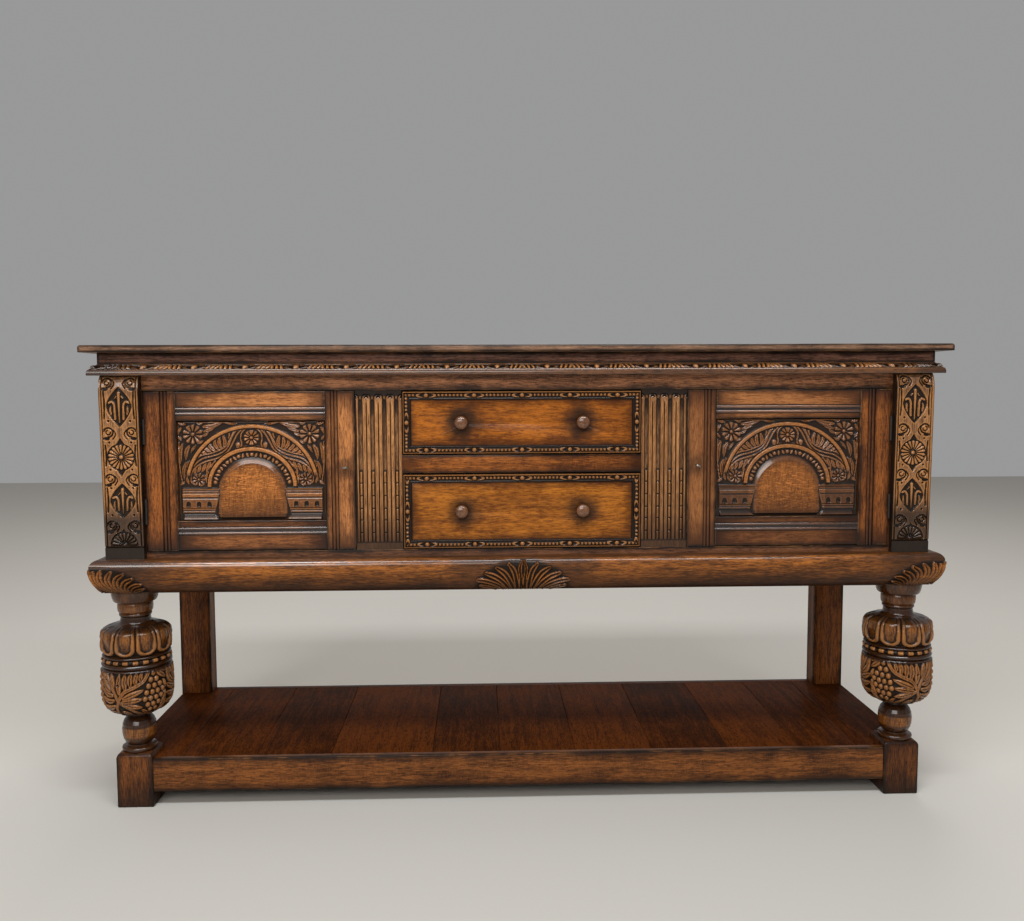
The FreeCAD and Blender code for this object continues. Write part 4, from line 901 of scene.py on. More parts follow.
def corbel_carving(u, z):
    """Strapwork on a dark ground: volutes, tulips in pointed ovals and a daisy."""
    side = np.abs(u)
    work = Carving(side, z, CORBEL_RELIEF)
    for low, wide, high in ((828.0, 872.0, 912.0), (636.0, 672.0, 710.0)):
        work.sink(soft(pointed_oval(side, z, low, wide, high, 26.0), 1.2), 0.0)
        near, share = work.along([(0.0, high - 13.0), (0.0, low + 7.0)])
        work.rise(crown(near, 3.6 * (1.0 - 0.75 * share)) * soft(share - 0.98, 0.03), 3.8)
        work.stem([(8.5, low + 17.0), (9.0, wide - 12.0), (9.5, wide + 2.0), (14.0, wide + 9.0),
                   (20.0, wide + 7.0)], 5.0, 3.6)
        work.leaf([(16.5, wide - 18.0), (18.0, wide - 8.0), (17.0, wide)], 4.6, 3.0)
        work.stem([(5.0, high - 20.0), (8.5, high - 24.0)], 2.6, 3.0)
    for middle in (920.0, 817.0, 719.0, 620.0):
        reach = np.hypot(side - 24.0, z - middle)
        way = np.degrees(np.arctan2(z - middle, side - 24.0))
        ring = soft(np.abs(reach - 9.6) - 1.7, 1.2) * ((way < -80.0) | (way > 5.0))
        work.sink(ring * soft(side - 33.5, 1.0), 0.0)
        work.sink(soft(np.hypot((side - 28.0) / 6.6, (z - middle + 13.0) / 3.4) * 4.0 - 4.0, 1.2), 0.0)
        work.sink(soft(np.abs(reach - 4.6) - 1.1, 1.0) * ((way < 95.0) | (way > 165.0)), 0.2)
    for low in (908.0, 803.0, 706.0, 607.0):
        work.groove([(13.5, low + 19.0), (9.0, low + 10.0), (14.5, low)], 2.4, 0.2)
    away = np.abs(z - DAISY)
    work.sink(soft(np.minimum(np.hypot(side, away) - 28.5, side - (41.0 - away) * 0.62), 1.2), 0.0)
    work.rosette((0.0, DAISY), 27.0, 18, 3.8, 0.17, 1.7)
    above = soft(577.5 - z, 1.0)
    fan = np.minimum(np.hypot(side, z - FAN_FOOT) - 28.5, side - (34.0 - (z - FAN_FOOT)) * 0.62)
    work.sink(soft(fan, 1.2) * above, 0.0)
    petals = Carving(side, z)
    petals.rosette((0.0, FAN_FOOT - 0.5), 27.0, 18, 3.8, 0.14, 1.7)
    work.rise(petals.height * above, 1.0)
    for spot in (841.0, 739.0, 643.0, 796.0, 700.0):
        work.sink(soft(np.hypot(side - 22.5, z - spot) - 2.1, 1.0), 0.0)
    work.groove([(35.4, 577.0), (35.4, 933.0)], 2.0, 0.8)
    for low, high in ((846.0, 905.0), (747.0, 790.0), (650.0, 700.0)):
        work.groove([(31.0, low), (29.5, (low + high) / 2), (31.0, high)], 3.2, 0.0)
    work.sink(crown(z - 574.5, 1.6), 0.6)
    return work.height - CORBEL_RELIEF


def corbels(finish):
    low, high = span("corbels")
    half = CORBEL_WIDTH / 2
    u, z = sheet((-half, low[2]), (half, high[2]), *CORBEL_CELLS)
    edge = half - np.abs(u)
    height = corbel_carving(u, z)
    # stain and painted shade: dark at the foot, at the head under the cornice and along both side edges
    aged_and_shaded = np.interp(z, (573.0, 575.0, 632.0, 665.0, 690.0, 885.0, 915.0),
                     (1.0, 0.95, 0.92, 0.25, 0.0, 0.0, 0.5))
    aged_and_shaded = np.maximum(aged_and_shaded, 0.6 * soft(edge - 1.6, 2.0))
    # the grounds darker below 668 mm and dark under the foot
    ground = unit(1.0 + (height + 0.3) / 3.7) * np.interp(z, (636.0, 668.0), (0.5, 1.0))
    ground = np.where(z < 573.0, 0.2, ground)
    made = []
    for hand, sign in HANDS.items():
        # painted shade on the side faces, which carry the rim's value back: black on the inner side, dark on
        # the outer
        depth = np.where(edge < 0.4, np.where(u * sign < 0.0, 0.0, 0.3), ground)
        place = (u + sign * (high[0] - half), FRONT - corbel_face(z) - height, z)
        # painted shade: the right corbel a little darker
        made.append(relief(hand + "_corbel", place, height, depth, FRONT, stain_and_shade=shaded_right_half(aged_and_shaded, hand, 0.08)))
    return finished(joined(made, "carved_corbels"), "corbels", finish, 55.0)


# Muntins: stopped flutes between pairs of reeds

MUNTIN_WIDTH = 98.4
MUNTIN_CELLS = (128, 150)
MUNTIN_RELIEF = 3.2
# the pocket that a door's bolt shoots into: how deep it is, how far its cut runs on past the muntin's
# edge, and the room round the bolt
POCKET_DEPTH = 16.0
POCKET_LIP = 0.7
POCKET_ROOM = np.array((0.0, 0.5, 0.5))
PITCH = 25.4
FLUTE_HALF = 4.9
FLUTE_TOP = 885.0
FLUTE_FOOT = 579.0
STOP_TOP = 731.0
STOP_STEP = 26.5


def muntin_carving(u, z):
    work = Carving(u, z, MUNTIN_RELIEF)
    flute = repeat(u, PITCH)
    pair = repeat(u + PITCH / 2, PITCH)
    spring = FLUTE_TOP - FLUTE_HALF
    arch = np.where(z > spring, np.hypot(flute, z - spring), np.abs(flute)) - FLUTE_HALF
    work.sink(soft(np.maximum(arch, FLUTE_FOOT - z), 1.0), 0.0)
    running = soft(z - FLUTE_TOP + 10.0, 12.0) * (z > FLUTE_FOOT)
    work.sink(crown(pair, 1.5) * (np.abs(u) < 30.0) * running, 0.2)
    scallop = np.hypot(pair / 1.1, z - FLUTE_TOP - 1.0)
    work.sink(crown(scallop - 8.6, 1.3) * (z > FLUTE_TOP - 2.0), 0.6)
    work.sink(crown(scallop - 3.4, 1.2) * (z > FLUTE_TOP), 0.6)
    stop = crown(flute, 2.3) * (z < STOP_TOP) * (z > FLUTE_FOOT + 1.0)
    notch = (z - STOP_TOP) % STOP_STEP
    work.rise(stop * soft(1.2 - np.minimum(notch, STOP_STEP - notch), 0.8), 2.9)
    return work.height - MUNTIN_RELIEF


def muntins(finish):
    outer, back = span("muntins")[1][:2]
    half = MUNTIN_WIDTH / 2
    foot = span("front_bottom_rail")[1][2]
    head = span("front_top_rail")[0][2]
    u, z = sheet((-half, foot), (half, head), *MUNTIN_CELLS)
    edge = half - np.abs(u)
    height = muntin_carving(u, z)
    # the flutes' grounds darkest among the stops and under their heads: grime and painted shade
    floor = np.interp(z, (728.0, 734.0, 845.0, 872.0), (0.02, 0.34, 0.30, 0.10))
    ground = floor + (1.0 - floor) * unit(1.0 + height / 2.9)
    # stain and painted shade: dark at the foot, under the front top rail and along both edges beside the
    # gaps
    aged_and_shaded = np.interp(z, (577.0, 579.0, 600.0, 640.0, 700.0, 800.0, 880.0, 892.0),
                     (1.0, 1.0, 0.8, 0.36, 0.18, 0.0, 0.15, 0.95))
    aged_and_shaded = np.maximum(aged_and_shaded, 0.6 * soft(edge - 3.0, 4.0))
    # painted shade: black above 889 mm under the front top rail, and a dark line at the foot
    ends = (1.0 - 0.85 * soft(889.0 - z, 6.0)) * (1.0 - 0.9 * crown(z - 578.0, 2.6))
    made = []
    for hand, sign in HANDS.items():
        # painted shade: black along the edge beside the door's gap
        depth = np.where((edge < 3.2) & (u * sign > 0.0), 0.0, ground) * ends
        depth = np.where(z < 577.0, 0.42, depth)
        # painted shade: the right muntin darker
        piece = relief(hand + "_muntin", (u + sign * (outer - half), FRONT - height, z), height, depth,
                       back, stain_and_shade=shaded_right_half(aged_and_shaded, hand, 0.22))
        low, high = span(hand + "_lock_bolt")
        low[0], high[0] = sorted((sign * (outer - POCKET_DEPTH), sign * (outer + POCKET_LIP)))
        mortise(piece, low - POCKET_ROOM, high + POCKET_ROOM)
        made.append(piece)
    return finished(joined(made, "fluted_muntins"), "muntins", finish)


# Mouldings that run round three sides

CORNICE_PERIOD = LENGTH / 17
CUSHION_STEP = 1.45
SPRAY = (
    (8.0, (4.4, 1.0), (4.2, 28.0), (6.4, 50.0), (3.0, 66.0)),
    (11.5, (11.0, 1.0), (14.0, 26.0), (19.0, 46.0), (29.0, 61.0)),
    (12.0, (19.0, 1.0), (27.0, 23.0), (38.0, 41.0), (54.0, 53.0)),
    (12.0, (28.0, 1.0), (41.0, 20.0), (56.0, 33.0), (76.0, 42.0)),
    (11.5, (39.0, 1.0), (53.0, 13.0), (72.0, 22.0), (95.0, 28.0)),
    (9.0, (53.0, 1.0), (68.0, 6.0), (90.0, 12.0)),
)
CORNER_LEAF = (
    (9.0, (0.0, 3.0), (0.0, 26.0), (0.0, 56.0)),
    (9.0, (20.0, 3.0), (11.0, 18.0), (7.0, 34.0), (9.0, 52.0)),
    (9.5, (30.0, 3.0), (22.0, 18.0), (19.0, 36.0), (24.0, 54.0)),
    (9.5, (38.0, 3.0), (33.0, 20.0), (35.0, 38.0), (45.0, 52.0)),
    (9.5, (44.0, 3.0), (44.0, 19.0), (52.0, 36.0), (69.0, 47.0)),
    (9.5, (51.0, 3.0), (54.0, 15.0), (66.0, 28.0), (85.0, 37.0)),
    (8.5, (59.0, 3.0), (66.0, 12.0), (80.0, 20.0), (98.0, 25.0)),
    (6.5, (68.0, 3.0), (79.0, 7.0), (95.0, 12.0)),
)
# how far along the run a cushion carving is worked to each side of its middle
SPRAY_REACH = 112.0
CORNER_REACH = 106.0


def run_round(name, stations, profile, carving, floor, top):
    """A moulding along the left side, the front and the right side, mitred at the corners.
    Stations are distances along the run, profile is rows of (out, z, out_way, z_way), and carving
    gives the height to lift each point along its way, its stain and painted shade, and its polish."""
    stations = np.array(sorted(set(np.round(stations, 3))))
    along, row = np.meshgrid(stations, np.arange(len(profile)))
    spots = np.array(profile)[row]
    corner = np.minimum(np.abs(along - DEEP), np.abs(along - DEEP - LENGTH))
    height, stain_and_shade, polish = carving(along - DEEP - SIDE, row, corner)
    out = spots[..., 0] + height * spots[..., 2]
    z = spots[..., 1] + height * spots[..., 3]
    left = along <= DEEP
    right = along >= DEEP + LENGTH
    share = np.where(left, along / DEEP,
                     np.where(right, (2 * DEEP + LENGTH - along) / DEEP, (along - DEEP) / LENGTH))
    x = np.where(left, -(SIDE + out), np.where(right, SIDE + out, (2 * share - 1) * (SIDE + out)))
    y = np.where(left | right, BACK + (FRONT - out - BACK) * share, FRONT - out)
    return relief(name, (x, y, z), height, unit((height - floor) / (top - floor)), stain_and_shade=stain_and_shade,
                  polish=polish)


def arc_rows(start, end, radius, count):
    """Rows along an arc from start to end in (out, z), bulging outwards as the profile climbs."""
    a = np.array(start)
    b = np.array(end)
    half = (b - a) / 2
    length = np.hypot(*half)
    normal = np.array([-half[1], half[0]]) / length
    centre = a + half + normal * math.sqrt(max(radius ** 2 - length ** 2, 0.0))
    first = math.atan2(*(a - centre)[::-1])
    last = math.atan2(*(b - centre)[::-1])
    sweep = (last - first + math.pi) % FULL_TURN - math.pi
    rows = []
    for share in np.linspace(0.0, 1.0, count):
        way = np.array([math.cos(first + sweep * share), math.sin(first + sweep * share)])
        rows.append((*(centre + radius * way), *way))
    return rows


def flat_rows(*spots):
    """Rows at plain spots in (out, z), where nothing is carved."""
    return [(out, z, 0, 0) for out, z in spots]


def cornice_carving(along, row, corner):
    """Berries in dark eyes, with runs of ribbed leaf between them, on the round of the cornice."""
    level = (row - 5.0) / 30.0
    v = (level - 0.62) * 34.0
    u = repeat(along, CORNICE_PERIOD)
    band = soft(np.abs(v) - 11.0, 1.2)
    ribs = unit(0.5 + 0.8 * np.cos((np.abs(u) - 30.0 - v * 0.3) * FULL_TURN / 9.4))
    leafy = soft(25.5 - np.abs(u), 2.0) * soft(np.abs(v) - 9.2, 1.0) * ribs
    eye = np.hypot(u / 24.0, v / 11.2)
    cheek = crown(eye - 0.86, 0.20) * (np.abs(v) < 10.6) * (np.abs(u) < 25.0)
    berry = crown(np.hypot(u, v / 1.7), 5.4)
    proud = np.maximum.reduce([3.4 * leafy, 2.4 * cheek, 4.2 * berry])
    carved = (row > 5) & (row < 34)
    height = np.where(carved, proud - 3.6 * band, 0.0)
    stain_and_shade = np.where(carved & (band > 0.3), 0.9 * cheek * (berry < 0.1), 0.62)
    stain_and_shade = np.maximum(stain_and_shade, np.clip((110.0 - corner) / 70.0, 0.0, 0.9))
    return height, unit(stain_and_shade), 0.25 * (row < 6)


def cornice(finish):
    node = "cornice_mouldings"
    foot, head = (corner[2] for corner in span(node))
    rows = flat_rows((0.0, foot), (10.0, foot), (22.2, foot))
    rows += [(23.0, foot + 0.9, 1, 0), (23.0, foot + 4.5, 1, 0)]
    rows += arc_rows((23.0, foot + 5.0), (6.0, head), 24.0, 31)
    rows += flat_rows((0.0, head), (0.0, foot + 14.5), (0.0, foot))
    stations = np.concatenate([np.arange(0.0, DEEP, 2.0), DEEP + np.linspace(0.0, LENGTH, 900),
                               DEEP + LENGTH + np.arange(2.0, DEEP + 1.0, 2.0), [2 * DEEP + LENGTH]])
    piece = run_round("carved_cornice", stations, rows, cornice_carving, -3.6, -0.4)
    return finished(piece, node, finish)


def cushion_carving(along, row, corner):
    """A spray of acanthus in the middle of the front and a leaf on each front corner."""
    v = (row - 4.0) * CUSHION_STEP
    # painted shade: darker towards the right of the front, and on the lower rows, which face down
    shade_rightwards = unit((along - 100.0) / 250.0)
    shaded_underside = np.interp(row, (3.0, 22.0, 38.0), (0.68, 0.46, 0.0))
    # stain and painted shade: darker towards the corners, on the underside, round the spray and on the ledge
    stain_and_shade = np.maximum.reduce([0.85 * unit((210.0 - corner) / 120.0),
                               shaded_underside + 0.16 * shade_rightwards * unit((42.0 - row) / 6.0),
                               0.66 * soft(np.abs(along) - 148.0, 60.0) * (row > 3),
                               0.75 * soft(53.5 - row, 3.0)])
    height = np.zeros(along.shape)
    from_middle = np.abs(along)
    # what is near, the distance from the carving's middle, its lobes, and its outline's reach and power
    spots = ((from_middle[0] < SPRAY_REACH, from_middle, SPRAY, 104.0, 73.0, 2.0),
             (corner[0] < CORNER_REACH, corner, CORNER_LEAF, 103.0, 64.0, 2.6))
    for near, across, lobes, wide, tall, square in spots:
        leaf = Carving(across[:, near], v[:, near])
        for width, *points in lobes:
            leaf.lobe(points, width, 4.6)
        outline = ((leaf.u / wide) ** square + (leaf.v / tall) ** square) ** (1.0 / square)
        cut = soft((outline - 0.92) * 60.0, 10.0)
        leaf.height = leaf.height * soft(leaf.v - tall + 6.0, 6.0)
        height[:, near] = np.where(cut > 0.0, -2.2 * cut + leaf.height, 0.0)
        # the leaves darker where they lie low: grime and painted shade
        aged_and_shaded = unit(1.3 * (0.62 - 0.12 * leaf.height))
        stain_and_shade[:, near] += (aged_and_shaded - stain_and_shade[:, near]) * soft((outline - 0.96) * 60.0, 16.0)
    ledge = soft(44.0 - row, 3.0) * soft(row - 58.0, 1.0)
    polish = ledge * np.interp(along, (-460.0, -240.0), (0.9, 0.10)) - 0.12 * (row < 44)
    return np.where((row > 3) & (row < 54), height, 0.0), np.where(row > 3, stain_and_shade, 0.0), polish


def cushion(finish):
    node = "cushion_mouldings"
    foot, head = (corner[2] for corner in span(node))
    shoulder = (31.0, foot + 55.5)
    rows = flat_rows((0.0, foot), (4.0, foot), (7.0, foot))
    rows += arc_rows((8.0, foot), shoulder, 73.5, 42)
    rows += arc_rows(shoulder, (14.6, head - 0.3), 17.5, 14)
    rows += flat_rows((12.0, head), (0.0, head), (0.0, foot + 35.0), (0.0, foot))
    end = 2 * DEEP + LENGTH
    leaf_stations = np.arange(-CORNER_REACH, CORNER_REACH + 1.0, 1.4)
    stations = np.concatenate([np.linspace(0.0, end, 60),
                               np.arange(-SPRAY_REACH, SPRAY_REACH + 1.0, 1.2) + DEEP + SIDE,
                               leaf_stations + DEEP, leaf_stations + DEEP + LENGTH,
                               [DEEP, DEEP + LENGTH, end]])
    piece = run_round("carved_cushion", stations, rows, cushion_carving, -2.2, 2.4)
    return finished(piece, node, finish)


# Drawers: carved edge mouldings and turned knobs

EDGE_WIDTH = 19.0
EDGE_ROWS = 22
KNOB_X = 130.0
KNOB_TURNS = 48
KNOB_TENON = 3.0
# a knob's radius by its distance from the drawer front
KNOB = ((0.0, 3.0), (5.2, 3.0), (6.0, 4.0), (5.4, 6.0), (6.4, 8.4), (9.6, 9.6), (12.6, 11.4),
        (13.9, 14.0), (13.6, 16.6), (11.6, 19.0), (8.0, 20.8), (4.0, 21.7), (0.3, 22.0))


def edge_heights(along, t, period):
    """A lip, a hollow carved with berries and ribbed leaf, and an inner fillet, across a moulding."""
    u = repeat(along + period / 2, period)
    v = t - 9.2
    lip = 6.6 * soft(np.abs(t - 3.2) - 1.7, 2.2)
    inner = 3.0 * crown(t - 16.6, 1.8)
    ribs = 0.5 + 0.5 * np.cos((np.abs(u) - 27.0) * FULL_TURN / 8.0)
    leafy = soft(24.0 - np.abs(u), 2.0) * soft(np.abs(v + 0.6) - 2.7, 1.6)
    berry = crown(np.hypot(u, v), 5.2)
    cheek = crown(np.hypot(u / 21.0, v / 5.6) - 0.9, 0.22) * (np.abs(u) < 22.0) * (np.abs(v) < 5.0)
    carve = np.maximum.reduce([3.6 * leafy * (0.25 + 0.75 * ribs), 5.0 * berry, 2.6 * cheek])
    height = np.maximum.reduce([lip, inner, np.where(np.abs(v) < 6.4, 2.0 + carve, 0.0)])
    return np.clip(height, 0.0, 7.2) * soft(0.6 - t, 1.2) * soft(t - EDGE_WIDTH + 0.5, 1.0)


def edge_moulding(level, finish):
    """Four mitred lengths round a drawer front."""
    node = level + "_drawer_edge_moulding"
    low, high = span(node)
    face = high[1]
    made = []
    for axis, sign in ((0, 1), (0, -1), (2, 1), (2, -1)):
        other = 2 - axis
        half = (high[axis] - low[axis]) / 2
        s, t = sheet((-1.0, 0.0), (1.0, EDGE_WIDTH), int(2 * half / 1.5), EDGE_ROWS)
        along = s * (half - t)
        height = edge_heights(along, t, 2 * half / max(1, round(2 * half / 99.0)))
        place = [None, face - 0.2 - height, None]
        place[axis] = (high[axis] + low[axis]) / 2 + along
        place[other] = (high[other] if sign > 0 else low[other]) - sign * t
        stain_and_shade = np.where(t > 13.4, 1.0, np.where(np.abs(t - 4.4) < 1.6, 0.7, 0.0))
        made.append(relief(f"{level}_edge_{axis}_{sign}", place, height, unit((height - 1.6) / 4.0), face,
                           stain_and_shade=stain_and_shade))
    return finished(joined(made, level + "_carved_edge"), node, finish)


def knob_height(level):
    return sum(corner[2] for corner in span(level + "_drawer_knobs")) / 2


def knobs(level, finish):
    """Two turned knobs with a short neck and a domed face."""
    face = span(level + "_drawer_front")[0][1]
    profile = smooth_line(KNOB, 4)
    angle, row = np.meshgrid(np.linspace(0.0, FULL_TURN, KNOB_TURNS + 1), np.arange(len(profile)))
    reach, out = np.moveaxis(profile[row], -1, 0)
    made = []
    for sign in (-1, 1):
        place = (sign * KNOB_X + reach * np.cos(angle), face + KNOB_TENON - out,
                 knob_height(level) + reach * np.sin(angle))
        made.append(relief(f"{level}_knob_{sign}", place, reach, 1.0))
    return finished(joined(made, level + "_turned_knobs"), level + "_drawer_knobs", finish, 60.0)


# Front legs: gadrooned cover and carved cup

# height and radius of each turned level
LEG_ROWS = ((120.0, 33.0), (121.5, 36.2), (124.5, 37.0), (127.5, 36.2), (129.0, 33.0), (129.6, 25.0),
            (132.4, 24.0), (133.5, 25.5), (137.0, 29.6), (145.0, 33.8), (155.0, 35.8), (164.0, 36.0),
            (174.0, 34.6), (182.0, 31.2), (188.0, 26.0), (190.5, 22.0), (193.5, 21.2), (194.5, 26.0),
            (197.0, 38.0), (203.0, 53.0), (212.0, 64.0), (224.0, 71.0), (240.0, 74.4), (262.0, 75.0),
            (282.0, 74.6), (294.0, 73.6), (297.0, 71.0), (298.0, 68.0), (299.4, 70.6), (302.0, 72.6),
            (305.0, 72.8), (307.6, 70.8), (308.6, 67.4), (309.6, 70.0), (313.0, 72.6), (317.0, 72.2),
            (319.2, 69.4), (320.0, 67.2), (321.2, 70.2), (323.6, 71.0), (326.0, 69.4), (327.0, 65.0),
            (328.0, 66.4), (332.0, 70.0), (338.0, 72.4), (346.0, 74.2), (353.0, 74.8), (362.0, 74.2),
            (371.0, 72.6), (380.0, 69.6), (388.0, 64.8), (394.0, 57.6), (398.0, 48.6), (400.0, 40.0),
            (401.6, 34.6), (404.0, 32.4), (412.0, 31.0), (415.0, 31.4), (416.0, 33.4), (418.4, 34.0),
            (420.6, 33.4), (421.2, 32.4), (422.4, 34.0), (426.0, 36.2), (433.0, 37.0), (440.0, 36.8),
            (444.4, 35.6), (445.4, 36.4), (446.2, 42.0), (449.0, 44.8), (456.0, 47.2), (464.0, 48.6),
            (472.0, 49.0), (475.0, 48.6))
# where each turned level sits on the leg
LEG_LEVELS = ((120.0, 120.0), (137.0, 139.0), (162.0, 166.0), (188.0, 194.0), (197.0, 204.0),
              (224.0, 231.0), (262.0, 272.0), (297.0, 310.0), (314.0, 327.0), (329.0, 341.0),
              (354.0, 361.0), (388.0, 391.0), (401.0, 402.0), (422.0, 425.0), (446.0, 449.0),
              (475.0, 475.0))
# how dark each turned level is: age, and painted shade in the necks and under the overhanging rounds
LEG_STAIN_AND_SHADE = ((120.0, 0.9), (137.0, 0.9), (147.0, 0.75), (151.0, 0.08), (166.0, 0.08), (169.0, 0.85),
             (199.0, 1.0), (207.0, 0.6), (220.0, 0.15), (289.0, 0.12), (294.0, 1.0), (328.0, 1.0),
             (331.0, 0.15), (378.0, 0.12), (390.0, 0.85), (396.0, 1.0), (417.0, 1.0), (421.0, 0.7),
             (424.0, 0.40), (443.0, 0.40), (446.0, 0.75), (475.0, 0.75))
# runs of turned levels and the rows in each
LEG_RUNS = ((120.0, 199.0, 56), (199.8, 294.0, 84), (294.6, 328.0, 42), (328.8, 400.0, 72),
            (400.4, 475.0, 62))
LEG_COLUMNS = 300
CUP_FOOT = 197.0
CUP_RADIUS = 74.5
MOTIFS = 3
BEADS = 21
GADROONS = 10
FOOT_SIDE = 78.0
FOOT_TALL = 120.0
CUP_STEMS = (
    # from one node: to the rim, to the left, and two to the base
    (8.6, (-30, 41), (-17, 59), (4, 68.5), (23, 78), (33, 90), (38, 99)),
    (8.2, (-30, 41), (-44, 68), (-56, 86), (-62, 99)), (7.6, (-30, 40), (-10, 28), (10, 14), (30, 5)),
    (7.2, (-30, 40), (-37, 22), (-34, 4)),
)
CUP_LEAVES = (
    # fingers between the stem and the rim
    (14.0, (-27, 58), (-28, 76), (-25, 97)), (11.0, (-40, 70), (-43, 82), (-46, 97)),
    (13.0, (-14, 66), (-15, 82), (-12, 98)), (12.5, (-3, 72), (-3, 85), (1, 99)),
    (11.5, (8, 75), (9, 87), (13, 99)), (9.5, (18, 81), (20, 90), (24, 99)),
    # the lily between stem and grapes
    (13.0, (-18, 47), (0, 54), (24, 62)), (13.0, (-20, 40), (0, 42), (23, 44)),
    (12.0, (-14, 34), (2, 29), (22, 26)),
    # a curled leaf at the left and the blades round it
    (15.0, (-50, 62), (-62, 70), (-74, 88)), (13.0, (-45, 52), (-60, 55), (-77, 64)),
    (12.5, (-42, 42), (-57, 40), (-77, 46)), (13.0, (-42, 30), (-56, 25), (-77, 28)),
    (12.0, (-44, 16), (-58, 12), (-77, 12)), (9.0, (-66, 84), (-71, 91), (-76, 98)),
    # round the grapes
    (12.5, (54, 98), (65, 88), (77, 80)), (8.0, (66, 99), (72, 95), (78, 92)),
    (9.0, (72, 74), (75, 66), (78, 58)), (11.0, (74, 52), (72, 38), (64, 24)),
    (11.0, (78, 34), (70, 18), (56, 6)), (10.0, (22, 20), (36, 10), (54, 5)),
    (10.0, (-22, 18), (-10, 12), (4, 3)),
)
GRAPES = ((46.8, 93.0), (40.8, 80.5), (53.8, 80.5), (35.4, 68.0), (48.2, 68.0), (61.5, 69.5), (31.0, 55.5),
          (43.5, 55.5), (56.0, 56.0), (68.5, 58.0), (27.5, 43.0), (39.5, 43.0), (51.8, 43.5), (64.0, 45.5),
          (33.5, 30.5), (45.8, 31.0), (58.0, 33.0), (40.0, 18.5), (52.0, 20.5))


def cup_heights(turn, z):
    """Vine stems, blades and a bunch of grapes."""
    u = repeat(turn / FULL_TURN * MOTIFS + 0.42, 1.0) * FULL_TURN * CUP_RADIUS / MOTIFS
    v = z - CUP_FOOT
    cup = Carving(u, v)
    cup.foliage(CUP_STEMS, CUP_LEAVES, 4.6)
    cup.sink(soft(np.hypot(u + 29.0, v - 73.0) - 2.6, 1.2), 0.0)
    for grape in GRAPES:
        cup.sink(soft(np.hypot(u - grape[0], v - grape[1]) - 6.6, 1.0), 0.0)
    for grape in GRAPES:
        cup.dome(grape, 6.0, 5.4)
    return (cup.height - 4.0) * soft(200.0 - z, 3.0) * soft(z - 294.0, 2.0)


def gadroons(turn, z):
    """Swelling lobes with a scooped foot in a raised border; gives heights and what lies inside."""
    half = math.pi / GADROONS
    share = np.abs(repeat(turn + half, 2 * half)) / half
    rim = np.hypot(share, np.clip((350.0 - z) / 18.0, 0.0, 1.5) * 0.82)
    swell = crown(share, 0.62) * soft(z - 392.0, 14.0)
    hollow = unit((374.0 - z) / 24.0)
    hollow = hollow * hollow * (3.0 - 2.0 * hollow)
    border = crown(rim - 0.78, 0.215)
    shoulder = 3.6 * np.exp(-((z - 387.0) / 8.0) ** 2) * soft(share - 0.9, 0.3)
    cover = soft(328.5 - z, 1.5) * soft(z - 398.0, 3.0)
    inner = 4.8 * swell ** 0.8 * (1.0 - hollow) - 2.6 * crown(rim, 0.58) * hollow
    lobe = np.where(border > 0.0, np.maximum(inner, 4.4 * border), inner)
    height = (lobe + 1.4 * (1.0 - share ** 2) + shoulder - 4.4) * cover
    return height, soft(rim - 0.58, 0.06) * cover


def leg_carving(turn, z):
    """Heights, depth, and stain and painted shade round a leg; turn is in radians from the front, to the
    inner side.
    """
    stain_and_shade = np.interp(z, *np.array(LEG_STAIN_AND_SHADE).T)
    height = cup_heights(turn, z)
    for line in (154.0, 158.5, 171.0):
        height = height - 0.7 * crown(z - line, 0.9)
    # oblong beads between two smooth rings
    step = repeat(turn / FULL_TURN * BEADS + 0.5, 1.0) * 21.6
    on_beads = (z > 308.6) & (z < 320.0)
    bead = crown(np.maximum(np.abs(step) - 3.0, 0.0), 3.4) * crown(z - 314.4, 5.2)
    height = np.where(on_beads, 3.8 * bead - 3.4, height)
    stain_and_shade = np.where(on_beads & (bead > 0.25), 0.0, stain_and_shade)
    lobes, inside = gadroons(turn, z)
    height = height + lobes
    depth = unit((height + 4.2) / 5.0)
    # the gadroons' hollows darker towards their foot: grime and painted shade
    scoop_grime_and_shade = np.interp(z, (334.0, 346.0, 362.0, 380.0), (0.10, 0.34, 0.56, 0.9))
    return height, depth + (scoop_grime_and_shade - depth) * inside, stain_and_shade


def foot_block(hand, x, y):
    """The square foot, its upper shoulders rounded off to the collar."""
    reach = FOOT_SIDE / 2
    low = np.array((x - reach, y - reach, 0.0))
    high = np.array((x + reach, y + reach, FOOT_TALL))
    piece = block(low, high)
    piece.name = hand + "_foot"
    bpy.ops.object.transform_apply(location=True, rotation=True, scale=True)
    weight = piece.data.attributes.new("bevel_weight_edge", "FLOAT", "EDGE")
    for edge in piece.data.edges:
        ends = [piece.data.vertices[k].co.z for k in edge.vertices]
        weight.data[edge.index].value = 1.0 if min(ends) > 0.1 else 0.32
    bevelled(piece, 10.0, 4, "WEIGHT")
    # its bottom edges stay clean: the box that darkens its edges runs on below the floor
    box = ((low - (0.0, 0.0, 20.0)) * MM, high * MM)
    # painted shade: the right foot darker
    light = scaled(tone(0.21, 0.066, 0.013), 0.78 if hand == "right" else 1.0)
    finish = oak(hand + "_foot_oak", light, tone(0.022, 0.006, 0.002), "Z", 25.0 + x * 0.01, box, 0.010,
                 foot=(0.0, 0.060), gloss=0.3)
    piece.data.materials.append(finish)
    return piece


